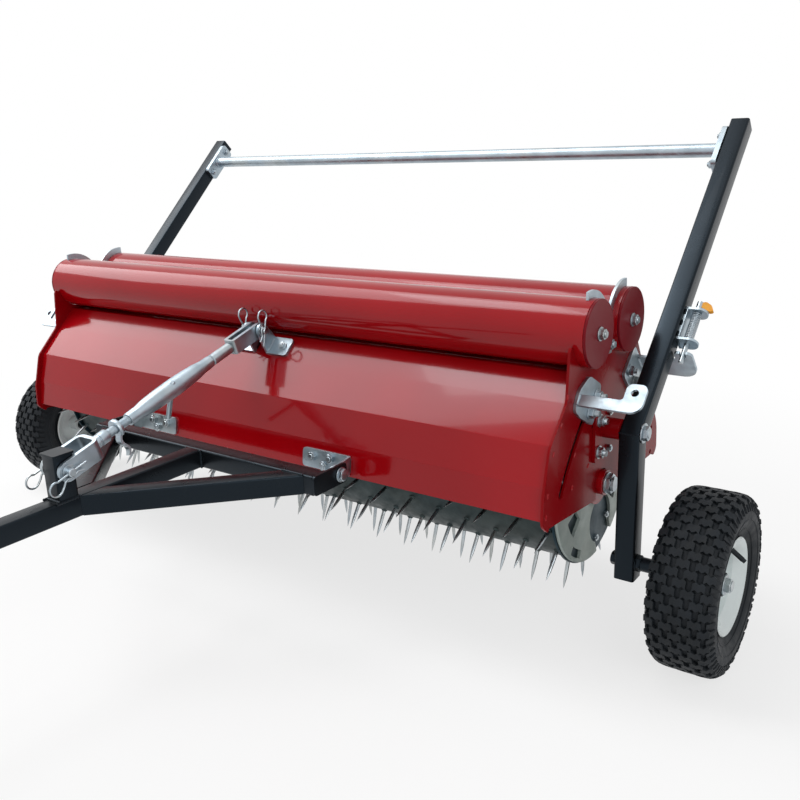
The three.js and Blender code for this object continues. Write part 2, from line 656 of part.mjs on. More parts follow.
// Cross tube with an end flange at each arm
const [crossY, crossZ] = along(armShift, crossAlong);
const flangeOutline = rounded(
  box2(-CROSS.flangeWide / 2, CROSS.flangeWide / 2, -CROSS.flangeLong / 2, CROSS.flangeLong / 2),
  CROSS.flangeWide / 4,
).map(([off, t]) => along(armShift + off, crossAlong + t));
const crossEnds = [-1, 1].flatMap((way) => {
  const span = ordered(way * crossFlangeX, way * (crossFlangeX - CROSS.flange));
  return [
    slab("x", flangeOutline, ...span),
    ...flangeBolts.map(([y, z]) =>
      boltHead("x", y, z, way * (crossFlangeX - CROSS.flange), -way, PLAIN_BOLT, CROSS.flange + OVERRUN),
    ),
  ];
});
add(
  "cross_tube",
  cut(
    join(rod("x", crossY, crossZ, CROSS.r, -crossFlangeX, crossFlangeX), crossEnds),
    rod("x", crossY, crossZ, CROSS.r - CROSS.wall, -armOuter, armOuter, SIDES.bolt),
  ),
  "zinc",
);

// Axles and wheels
const hubOut = wheelX + WHEEL.hubHalf + FIT;
const axle = join(
  rod("x", AXLE.y, AXLE.z, AXLE.r, armInner - FIT - AXLE.high, hubOut + AXLE.nutHigh),
  hex("x", AXLE.y, AXLE.z, AXLE.head, armInner - FIT - AXLE.high, armInner - FIT),
  rod("x", AXLE.y, AXLE.z, AXLE.washer, hubOut, hubOut + AXLE.washerThick),
  hex("x", AXLE.y, AXLE.z, AXLE.head, hubOut, hubOut + AXLE.nutHigh),
  hex("x", AXLE.y, AXLE.z, AXLE.washer, armOuter + FIT, armOuter + AXLE.nutHigh),
  rod("x", AXLE.y, AXLE.z, AXLE.spacer, armOuter + FIT, wheelX - WHEEL.hubHalf - FIT),
);
// Half width and radius of the rim's outside, which the tyre's beads sit on
const mirrored = (half) => [
  ...half.map(([w, r]) => [wheelX + w, r]),
  ...half.toReversed().map(([w, r]) => [wheelX - w, r]),
];
const rimHalf = RIM.halfShare * WHEEL.wide;
const slopeHalf = RIM.slopeShare * WHEEL.wide;
const slopeR = WHEEL.rim - RIM.drop;
const rimSlope = (WHEEL.rim - slopeR) / (rimHalf - slopeHalf);
const rimTop = (w) => slopeR + (w - slopeHalf) * rimSlope;
const rimProfile = [
  [wheelX - rimHalf, WHEEL.rim - RIM.skin],
  [wheelX - rimHalf, WHEEL.rim],
  [wheelX - slopeHalf, slopeR],
  [wheelX + slopeHalf, slopeR],
  [wheelX + rimHalf, WHEEL.rim],
  [wheelX + rimHalf, WHEEL.rim - RIM.skin],
  [wheelX + slopeHalf, slopeR - RIM.skin],
  [wheelX + RIM.web + RIM.coneIn, slopeR - RIM.skin],
  [wheelX + RIM.web, WHEEL.hub],
  [wheelX + WHEEL.hubHalf, WHEEL.hub],
  [wheelX + WHEEL.hubHalf, AXLE.r + FIT],
  [wheelX - WHEEL.hubHalf, AXLE.r + FIT],
  [wheelX - WHEEL.hubHalf, WHEEL.hub],
  [wheelX, WHEEL.hub],
  [wheelX + RIM.coneIn, slopeR - RIM.skin],
  [wheelX - slopeHalf, slopeR - RIM.skin],
];
const rim = revolve("x", AXLE.y, AXLE.z, rimProfile, SIDES.wheel);
const onTyre = ([w, r]) => [w * WHEEL.wide, WHEEL.rim + r * (WHEEL.r - WHEEL.rim)];
const tyreSide = tyreShares.map(onTyre);
const tyreInside = tyreInnerShares.map(onTyre);
const beads = [BEAD.lowShare, BEAD.highShare].map((share) => {
  const w = share * WHEEL.wide;
  return [w, rimTop(w) + BEAD.lift];
});
const tyreProfile = [
  ...mirrored([...beads, ...tyreSide]).slice(0, 2 * (beads.length + tyreSide.length)),
  ...mirrored(tyreInside).toReversed(),
];
const tyre = revolve("x", AXLE.y, AXLE.z, tyreProfile, SIDES.wheel);

// Latch bracket, pin, spring and pull tab
const latchFace = armOuter + FIT;
const latchTip = LATCH.from - LATCH.below;
const latchEnd = LATCH.to + LATCH.above;
const tabAt = LATCH.to + TAB.gap;
const latchOut = latchFace + LATCH.reach;
const latchBack = [LATCH.off - LATCH.wide / 2, LATCH.off + LATCH.wide / 2];
const latchFlange = rounded(box2(latchFace, latchOut, ...latchBack), LATCH.corner);
const latchBracket = cut(
  join(
    slab("x", box2(...latchBack, LATCH.from, LATCH.to), latchFace, latchFace + LATCH.thick),
    slab("z", latchFlange, LATCH.from, LATCH.from + LATCH.thick),
    slab("z", latchFlange, LATCH.to - LATCH.thick, LATCH.to),
  ),
  rod("z", latchX, LATCH.off, LATCH.pin + FIT, LATCH.from - OVERRUN, LATCH.to + OVERRUN),
);
const collarAt = LATCH.from + LATCH.thick + FIT;
const latchPin = join(
  rod("z", latchX, LATCH.off, LATCH.pin, latchTip, latchEnd),
  rod("z", latchX, LATCH.off, LATCH.collar.r, collarAt, collarAt + LATCH.collar.thick),
);
const tabOutline = rounded(
  box2(latchX, latchX + TAB.wide, tabAt, tabAt + TAB.long),
  LATCH.corner,
).map(([x, t]) => [t, x]);
const tab = cut(
  join(
    slab("y", tabOutline, LATCH.off - TAB.thick / 2, LATCH.off + TAB.thick / 2),
    rod("z", latchX, LATCH.off, LATCH.pin + TAB.thick, tabAt, tabAt + TAB.long),
  ),
  rod("z", latchX, LATCH.off, LATCH.pin + FIT, tabAt - OVERRUN, latchEnd + FIT),
);

// A coil of one unbroken tube, with straight ends one wire wide
const coil = (from, to) => {
  const steps = SPRING.curls * SPRING.steps;
  const centres = [];
  for (let i = 0; i <= steps; i++) {
    const turn = (i * 2 * Math.PI) / SPRING.steps;
    const height = from + SPRING.wire + ((to - from - 2 * SPRING.wire) * i) / steps;
    centres.push(new THREE.Vector3(SPRING.r * Math.cos(turn), SPRING.r * Math.sin(turn), height));
  }
  const straight = (p, q) => p.clone().add(p.clone().sub(q).setZ(0).setLength(2 * SPRING.wire));
  centres.unshift(straight(centres[0], centres[1]));
  centres.push(straight(centres.at(-1), centres.at(-2)));
  const points = [];
  centres.forEach((c, i) => {
    const ahead = centres[Math.min(i + 1, centres.length - 1)].clone();
    const way = ahead.sub(centres[Math.max(i - 1, 0)]).normalize();
    const out = new THREE.Vector3(c.x, c.y, 0).normalize();
    out.addScaledVector(way, -out.dot(way)).normalize();
    const side = new THREE.Vector3().crossVectors(way, out);
    for (let k = 0; k < SPRING.sides; k++) {
      const a = (k * 2 * Math.PI) / SPRING.sides;
      const p = c.clone().addScaledVector(out, SPRING.wire * Math.cos(a));
      points.push(...p.addScaledVector(side, SPRING.wire * Math.sin(a)).toArray());
    }
  });
  const index = [];
  const n = SPRING.sides;
  const last = (centres.length - 1) * n;
  for (let i = 0; i < centres.length - 1; i++) {
    for (let k = 0; k < n; k++) {
      const a = i * n + k;
      const b = i * n + ((k + 1) % n);
      index.push(a, b, b + n, a, b + n, a + n);
    }
  }
  for (let k = 1; k < n - 1; k++) index.push(0, k + 1, k, last, last + k, last + k + 1);
  const g = new THREE.BufferGeometry();
  g.setAttribute("position", new THREE.Float32BufferAttribute(points, 3));
  g.setIndex(index);
  let least = Infinity;
  for (let i = 0; i < centres.length; i++) {
    for (let j = i + SPRING.steps / 2; j < centres.length; j++) {
      least = Math.min(least, centres[i].distanceTo(centres[j]) - 2 * SPRING.wire);
    }
  }
  console.log("spring: least gap to itself " + least.toFixed(2) + " mm");
  return weld(g.translate(latchX, LATCH.off, 0));
};
const spring = coil(collarAt + LATCH.collar.thick + FIT, LATCH.to - LATCH.thick - FIT);

// Catch plate behind the arm: its slot holds the latch pin in the transport position
const catchOutline = [
  [bracketFace, catchEdge],
  [latchX - CATCH.slot - LATCH.pin, catchEdge],
  [latchX - CATCH.slot - LATCH.pin, CATCH.lip],
  [latchX + CATCH.beyond, CATCH.lip],
  [latchX + CATCH.beyond, CATCH.back],
  [bracketFace, CATCH.back],
];
const slotHalf = CATCH.slot / 2;
const catchSlot = [
  [latchX - slotHalf, CATCH.lip - OVERRUN],
  [latchX + slotHalf, CATCH.lip - OVERRUN],
  ...arc(latchX, LATCH.off, slotHalf, 0, 180, 6),
];
const catchFlange = rounded(
  box2(CATCH.flange.offFrom, CATCH.flange.offTo, catchFrom, catchAlong + CATCH.thick),
  CATCH.flange.corner,
);
const catchOut = bracketFace + CATCH.flange.thick;
const catchPlate = cut(
  join(
    slab("z", rounded(catchOutline, CATCH.corner), catchAlong, catchAlong + CATCH.thick),
    slab("x", catchFlange, bracketFace, catchOut),
    CATCH.bolts.map((off) =>
      boltHead("x", off, catchBolt, catchOut, 1, PLAIN_BOLT, CATCH.flange.thick + boltDrop),
    ),
  ),
  slab("z", catchSlot, catchAlong - OVERRUN, catchAlong + CATCH.thick + OVERRUN),
);

// Depth stop: an L plate square to the arm's working position, on a flange over the slot
const stopLean = rad(STOP.leanDeg);
const slotAlong = SLOT.atZ * Math.cos(stopLean) - SLOT.atY * Math.sin(stopLean);
const plateAlong = slotAlong + STOP.beyond * STOP.flange.size;
const stopLow = STOP.under;
const stopTop = STOP.under + STOP.leg;
const stopOutline = [
  [bracketFace, stopLow],
  [stopOuter - 2 * STOP.corner, stopLow],
  [stopOuter, stopLow + STOP.corner],
  [stopOuter, STOP.head],
  [stopInner, STOP.head],
  [stopInner, stopTop],
  [bracketFace, stopTop],
];
const unlean = new THREE.Matrix4().makeRotationX(stopLean);
const place = (solid, matrix) => weld(surface(solid).applyMatrix4(matrix));
const stopPlate = cut(
  slab("z", rounded(stopOutline, STOP.corner), plateAlong, plateAlong + STOP.thick),
  rod(
    "z",
    stopOuter - STOP.hole.in,
    STOP.hole.off,
    STOP.hole.r,
    plateAlong - OVERRUN,
    plateAlong + STOP.thick + OVERRUN,
  ),
);
const stopFlange = stopFlangeShares.map(([a, b]) => [
  SLOT.atY + a * STOP.flange.size,
  SLOT.atZ + b * STOP.flange.size,
]);
const stopOut = bracketFace + STOP.flange.thick;
const slotPoint = (deg) => [slotY + SLOT.r * Math.cos(rad(deg)), slotZ + SLOT.r * Math.sin(rad(deg))];
const stop = join(
  place(stopPlate, unlean),
  slab("x", rounded(stopFlange, STOP.corner), bracketFace, stopOut),
  [-STOP.boltApart / 2, STOP.boltApart / 2].map((run) =>
    boltHead("x", ...slotPoint(slotDeg(run)), stopOut, 1, PLAIN_BOLT, STOP.flange.thick + boltDrop),
  ),
);

// The pieces of one side, and their mirror images
for (const side of ["right", "left"]) {
  const parent = sides[side];
  const leaning = turned(parent, -ARM.leanDeg);
  add("side_plate_" + side, sidePlate, "red", parent);
  add("tube_clamp_" + side, clamp, "zinc", parent);
  add("drum_disc_" + side, drumDisc, "dark", parent);
  add("drum_end_" + side, spider, "zinc", parent);
  add("drum_bearing_" + side, bearing, "red", parent);
  add("pivot_bracket_" + side, pivotBracket, "zinc", parent);
  add("pivot_pin_" + side, pivotPin, "zinc", parent);
  add("arm_" + side, arm, "black", parent);
  add("axle_" + side, axle, "zinc", parent);
  add("rim_" + side, rim, "rim", parent);
  add("tyre_" + side, tyre, "tyre", parent);
  add("depth_stop_" + side, stop, "zinc", parent);
  add("latch_bracket_" + side, latchBracket, "zinc", leaning);
  add("latch_pin_" + side, latchPin, "zinc", leaning);
  add("latch_spring_" + side, spring, "zinc", leaning);
  add("latch_tab_" + side, tab, "amber", leaning);
  add("catch_plate_" + side, catchPlate, "zinc", leaning);
}

// Drawbar beam, post, diagonals and crossbar, all of the same box tube
const barLow = barTop - BAR.box;
const halfBox = BAR.box / 2;
const inner = halfBox - BAR.wall;
const hitchRear = barFront + HITCH.long / 2;
const hitchPlate = rounded(
  box2(-HITCH.wide / 2, HITCH.wide / 2, barFront - HITCH.long / 2, hitchRear),
  HITCH.wide / 3,
);
const beam = cut(
  join(
    cut(
      slab("y", box2(barLow, barTop, -halfBox, halfBox), barFront, barCross - FIT),
      slab(
        "y",
        box2(barLow + BAR.wall, barTop - BAR.wall, -inner, inner),
        barFront - OVERRUN,
        barCross + OVERRUN,
      ),
    ),
    slab("z", hitchPlate, barTop, barTop + HITCH.plate),
    slab("z", hitchPlate, barLow - HITCH.plate, barLow),
  ),
  rod("z", 0, barFront - HITCH.long / 4, HITCH.pin + FIT, barLow - HITCH.long, barTop + HITCH.long),
);
add("drawbar_beam", beam, "black");

const hitchY = barFront - HITCH.long / 4;
const hitchHead = barTop + HITCH.plate + FIT;
add(
  "hitch_pin",
  join(
    rod("z", 0, hitchY, HITCH.pin, barLow - HITCH.below, hitchHead + HITCH.gripThick),
    rod("z", 0, hitchY, HITCH.pin + HITCH.gripThick, hitchHead, hitchHead + HITCH.gripThick),
    slab(
      "y",
      rounded(
        [
          [hitchHead, -HITCH.gripThick],
          [hitchHead + HITCH.grip, -HITCH.grip],
          [hitchHead + 2 * HITCH.grip, -HITCH.grip / 2],
          [hitchHead + 2 * HITCH.grip, HITCH.grip / 2],
          [hitchHead + HITCH.grip, HITCH.grip],
          [hitchHead, HITCH.gripThick],
        ],
        HITCH.gripThick,
      ),
      hitchY - HITCH.gripThick / 2,
      hitchY + HITCH.gripThick / 2,
    ),
  ),
  "zinc",
);

const postRear = postFront + BAR.box;
const linkPinHole = bore("x", linkFrontY, linkFrontZ, LINK.pin + FIT, -BAR.box, BAR.box);
add(
  "drawbar_post",
  cut(
    join(
      slab("z", box2(-halfBox, halfBox, postFront, postRear), barTop + FIT, postHigh),
      slab(
        "z",
        box2(-halfBox - POST.lip, halfBox + POST.lip, postFront - POST.lip, postRear + POST.lip),
        postHigh - POST.lip,
        postHigh + POST.cap,
      ),
    ),
    slab("z", box2(-inner, inner, postFront + BAR.wall, postRear - BAR.wall), barLow, postHigh - BAR.wall),
    linkPinHole,
  ),
  "black",
);

const crossFront = barCross - FIT;
const diagonalRun = new THREE.Vector2(BAR.crossHalf - halfBox, crossFront - barDiagonal);
const diagonalUnit = diagonalRun.clone().normalize();
const diagonalBand = (outerInset, innerInset, reach) => {
  const across = new THREE.Vector2(-diagonalUnit.y, diagonalUnit.x);
  const start = new THREE.Vector2(halfBox, barDiagonal);
  const at = (t, off) => {
    const p = start.clone().addScaledVector(diagonalUnit, t).addScaledVector(across, off);
    return [p.x, p.y];
  };
  return [
    at(-reach, outerInset),
    at(diagonalRun.length() + reach, outerInset),
    at(diagonalRun.length() + reach, innerInset),
    at(-reach, innerInset),
  ];
};
const diagonal = cut(
  slab("z", diagonalBand(0, BAR.box, BAR.box), barLow, barTop).intersect(
    slab("z", box2(halfBox + FIT, BAR.crossHalf, postFront, crossFront), barLow, barTop),
  ),
  slab(
    "z",
    diagonalBand(BAR.wall, BAR.box - BAR.wall, 2 * BAR.box),
    barLow + BAR.wall,
    barTop - BAR.wall,
  ),
);
for (const side of ["right", "left"]) add("drawbar_diagonal_" + side, diagonal, "black", sides[side]);

const crossRear = barCross + BAR.box;
const endPlate = rounded(
  box2(barCross, barEnd, barLow, barTop),
  HINGE.corner,
);
const bothWays = (from, to) => [-1, 1].map((way) => ordered(way * from, way * to));
add(
  "drawbar_crossbar",
  cut(
    join(
      cut(
        slab("x", box2(barCross, crossRear, barLow, barTop), -BAR.crossHalf, BAR.crossHalf),
        slab(
          "x",
          box2(barCross + BAR.wall, crossRear - BAR.wall, barLow + BAR.wall, barTop - BAR.wall),
          BAR.wall - BAR.crossHalf,
          BAR.crossHalf - BAR.wall,
        ),
        [-BAR.crossHalf / 2, BAR.crossHalf / 2].map((x) =>
          rod("z", x, barCross + halfBox, BAR.drain, barLow - OVERRUN, barTop - halfBox, SIDES.shank),
        ),
      ),
      bothWays(BAR.crossHalf, BAR.crossHalf + BAR.endPlate).map((span) => slab("x", endPlate, ...span)),
    ),
    bore("x", hingeY, hingeZ, HINGE.r + FIT, -HOOD.half, HOOD.half),
  ),
  "black",
);

// Hinge brackets on the lower front of the hood, with the lug and the hinge bolt
const hingeFrom = hingeLug + HINGE.lug - HINGE.wide;
const hingeTo = hingeLug + HINGE.lug;
const hingeFace = rounded(box2(hingeFrom, hingeTo, 0, HINGE.tall), HINGE.corner);
const apronBasis = new THREE.Matrix4()
  .makeBasis(
    new THREE.Vector3(1, 0, 0),
    new THREE.Vector3(0, apronUp.x, apronUp.y),
    new THREE.Vector3(0, apronOut.x, apronOut.y),
  )
  .setPosition(0, ...apronAt(HINGE.corner, 0));
const hingeFlange = place(
  join(
    slab("z", hingeFace, FIT, FIT + HINGE.face),
    HINGE.bolts.map(([a, b]) =>
      boltHead(
        "z",
        hingeFrom + a * HINGE.wide,
        b * HINGE.tall,
        FIT + HINGE.face,
        1,
        PLAIN_BOLT,
        HINGE.face / 2,
      ),
    ),
  ),
  apronBasis,
);
const lugOutline = [
  apronAt(HINGE.corner, FIT + HINGE.face / 2),
  apronAt(HINGE.corner + HINGE.tall, FIT + HINGE.face / 2),
  ...arc(hingeY, hingeZ, HINGE.r + HINGE.corner, 60, 240, 8),
];
const hingeBolt = BAR.crossHalf + BAR.endPlate + FIT;
const hingeBracket = join(
  hingeFlange,
  slab("x", lugOutline, hingeLug, hingeLug + HINGE.lug),
  rod("x", hingeY, hingeZ, HINGE.r, hingeLug - HINGE.corner, hingeBolt + BOLT.washerThick),
  rod("x", hingeY, hingeZ, BOLT.washer + BOLT.washerThick, hingeBolt, hingeBolt + BOLT.washerThick),
  hex("x", hingeY, hingeZ, BOLT.washer, hingeBolt, hingeBolt + BOLT.washerThick + BOLT.high),
  hex("x", hingeY, hingeZ, BOLT.washer, hingeLug - HINGE.corner, hingeLug - FIT),
);
for (const side of ["right", "left"]) add("hinge_bracket_" + side, hingeBracket, "zinc", sides[side]);

// Top link bracket: two ears whose feet lie on the sloping upper fold
const earInner = LINK.rearFork.half + EAR.gap;
const footHalf = EAR.wide / 2;
const earOutline = [
  [-footHalf, 0],
  [footHalf, 0],
  ...arc(LINK.pinAlong, LINK.pinFromSeat, LINK.pin + EAR.corner / 2, 0, 180, 8),
];
const footOutline = rounded(
  box2(earInner, earInner + EAR.foot, -footHalf, footHalf),
  EAR.corner / 2,
);
const foldBasis = new THREE.Matrix4()
  .makeBasis(
    new THREE.Vector3(1, 0, 0),
    new THREE.Vector3(0, foldUp.x, foldUp.y),
    new THREE.Vector3(0, foldOut.x, foldOut.y),
  )
  .setPosition(0, earSeat.x, earSeat.y);
const ear = place(
  cut(
    join(
      slab("x", earOutline, earInner, earInner + EAR.thick),
      slab("z", footOutline, 0, EAR.footThick),
      boltHead("z", earInner + EAR.boltAt, 0, EAR.footThick, 1, SMALL_BOLT, EAR.footThick / 2),
    ),
    rod("x", LINK.pinAlong, LINK.pinFromSeat, LINK.pin + FIT, -EAR.foot, EAR.foot),
  ),
  foldBasis,
);
for (const side of ["right", "left"]) add("link_ear_" + side, ear, "zinc", sides[side]);
const rearPinHalf = earInner + EAR.thick + PIN_OVER;
add("link_rear_pin", rod("x", linkRear.x, linkRear.y, LINK.pin, -rearPinHalf, rearPinHalf), "zinc");
const frontFork = { ...LINK.frontFork, half: BAR.box / 2 + LINK.frontFork.gap + LINK.frontFork.thick };
const frontPinHalf = frontFork.half + PIN_OVER;
add("link_front_pin", rod("x", linkFrontY, linkFrontZ, LINK.pin, -frontPinHalf, frontPinHalf), "zinc");

// Top link, built along local -Y from the rear pin
const link = new THREE.Group();
link.position.set(0, linkRear.x, linkRear.y);
link.rotation.x = Math.atan2(linkRun.y, linkRun.x);
machine.add(link);
const frontPinAt = linkRun.length();

// A fork bent from flat bar, given as an outline seen from above, then cut to its side view
const forkOf = (f, pinAt, closed, way, hole) => {
  const tip = pinAt - way * (f.tall / 2);
  const outer = box2(-f.half, f.half, Math.min(tip, closed), Math.max(tip, closed));
  const hollowTo = closed - way * f.thick;
  const hollow = box2(
    f.thick - f.half,
    f.half - f.thick,
    Math.min(tip - way * f.tall, hollowTo),
    Math.max(tip - way * f.tall, hollowTo),
  );
  const nose = rounded(outer, f.corner ?? f.thick);
  const sideView = [
    ...arc(pinAt, 0, f.tall / 2, 90 * way, 90 * way + 180, 10),
    [closed + way * OVERRUN, -way * (f.tall / 2)],
    [closed + way * OVERRUN, way * (f.tall / 2)],
  ];
  return cut(
    slab("z", nose, -f.tall / 2, f.tall / 2).intersect(slab("x", sideView, -f.half, f.half)),
    slab("z", rounded(hollow, (f.corner ?? f.thick) - f.thick / 2), -f.tall, f.tall),
    bore("x", pinAt, 0, hole, -2 * f.half, 2 * f.half),
  );
};
const rearClosed = -LINK.rearFork.length;
const rearStudEnd = -(LINK.sleeveFrom + LINK.engage);
add(
  "link_rear_fork",
  join(
    forkOf(LINK.rearFork, 0, rearClosed, -1, LINK.pin + FIT),
    rod("y", 0, 0, LINK.stud, rearStudEnd, rearClosed + LINK.rearFork.thick / 2),
  ),
  "zinc",
  link,
);
const sleeveProfile = (() => {
  const [from, to] = [LINK.sleeveFrom, sleeveTo];
  const neck = (to - from) / 8;
  return [
    [-from, LINK.bore],
    [-from, LINK.sleeveEnd],
    [-from - neck, LINK.sleeveEnd],
    [-from - 2 * neck, LINK.sleeveMid],
    [-to + 2 * neck, LINK.sleeveMid],
    [-to + neck, LINK.sleeveEnd],
    [-to, LINK.sleeveEnd],
    [-to, LINK.bore],
  ];
})();
const tommy = place(
  rod("z", 0, 0, LINK.tommy.r, -LINK.tommy.half, LINK.tommy.half, SIDES.bolt),
  new THREE.Matrix4().makeRotationY(rad(LINK.tommy.deg)).setPosition(0, -tommyAt, 0),
);
add("link_sleeve", join(revolve("y", 0, 0, sleeveProfile, SIDES.rod), tommy), "zinc", link);
const frontClosed = LINK.frontFork.length - frontPinAt;
const frontStudEnd = -(sleeveTo - LINK.engage);
add(
  "link_front_fork",
  join(
    forkOf(frontFork, -frontPinAt, frontClosed, 1, LINK.pin + LINK.slack),
    rod("y", 0, 0, LINK.stud, frontClosed - LINK.frontFork.thick / 2, frontStudEnd),
  ),
  "zinc",
  link,
);
const ring = LINK.ring;
const handle = place(
  rod("z", 0, 0, ring.handle, ring.r - ring.handle, ring.r + ring.handleLong, SIDES.shank),
  new THREE.Matrix4().makeRotationY(rad(ring.handleDeg)).setPosition(0, -ringAt - ring.long / 2, 0),
);
add(
  "link_lock_ring",
  cut(
    join(rod("y", 0, 0, ring.r, -ringAt - ring.long, -ringAt, SIDES.round), handle),
    rod("y", 0, 0, LINK.bore, -ringAt - 2 * ring.long, -ringAt + ring.long),
  ),
  "zinc",
  link,
);

// The origin lies on the ground, in the middle of the machine's length and width
machine.updateMatrixWorld(true);
const bounds = new THREE.Box3().setFromObject(machine);
const middle = bounds.getCenter(new THREE.Vector3());
machine.position.set(-middle.x, -middle.y, -bounds.min.z);

export default machine;
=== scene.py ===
"""Towed spike aerator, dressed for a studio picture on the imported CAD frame.

Lengths are in millimetres from the axis of the lift frame's pivots, +X right, +Y rear, +Z up.
TO_SCENE takes them to the metres of the scene. Shapes are drawn for the right side, and
both_sides() mirrors them.
"""

import json
import math
import random

import bmesh
import bpy
from mathutils import Matrix, Vector
from mathutils.geometry import tessellate_polygon


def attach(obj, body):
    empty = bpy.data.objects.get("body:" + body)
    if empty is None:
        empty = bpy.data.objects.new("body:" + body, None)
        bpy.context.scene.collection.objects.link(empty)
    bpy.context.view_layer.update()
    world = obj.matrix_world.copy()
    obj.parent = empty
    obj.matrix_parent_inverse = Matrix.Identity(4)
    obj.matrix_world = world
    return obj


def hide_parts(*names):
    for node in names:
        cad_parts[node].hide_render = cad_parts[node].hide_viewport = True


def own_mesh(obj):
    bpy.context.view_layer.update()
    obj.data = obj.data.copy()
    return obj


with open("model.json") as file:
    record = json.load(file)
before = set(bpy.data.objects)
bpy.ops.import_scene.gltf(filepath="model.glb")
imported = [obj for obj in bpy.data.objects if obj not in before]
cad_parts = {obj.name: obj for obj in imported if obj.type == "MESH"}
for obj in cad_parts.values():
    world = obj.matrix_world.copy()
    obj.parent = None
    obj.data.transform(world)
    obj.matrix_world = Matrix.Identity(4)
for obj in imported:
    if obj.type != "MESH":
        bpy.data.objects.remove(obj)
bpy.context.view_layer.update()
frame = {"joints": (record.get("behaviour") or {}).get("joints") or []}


def joint(name):
    return next(j for j in frame["joints"] if j["name"] == name)


MM = 0.001
PIVOTS = Vector(joint("lift_frame_swing")["pos_m"])
TO_SCENE = Matrix.Translation(PIVOTS) @ Matrix.Scale(MM, 4)
UPRIGHT = Matrix.Identity(4)
SIDES = (("right", UPRIGHT), ("left", Matrix.Scale(-1, 4, (1, 0, 0))))
FIT = 0.3  # pieces that touch are kept this far apart
WELD_STEP = 1.6
rng = random.Random(7)


def rad(degrees):
    return math.radians(degrees)


# ---------------------------------------------------------------- solids


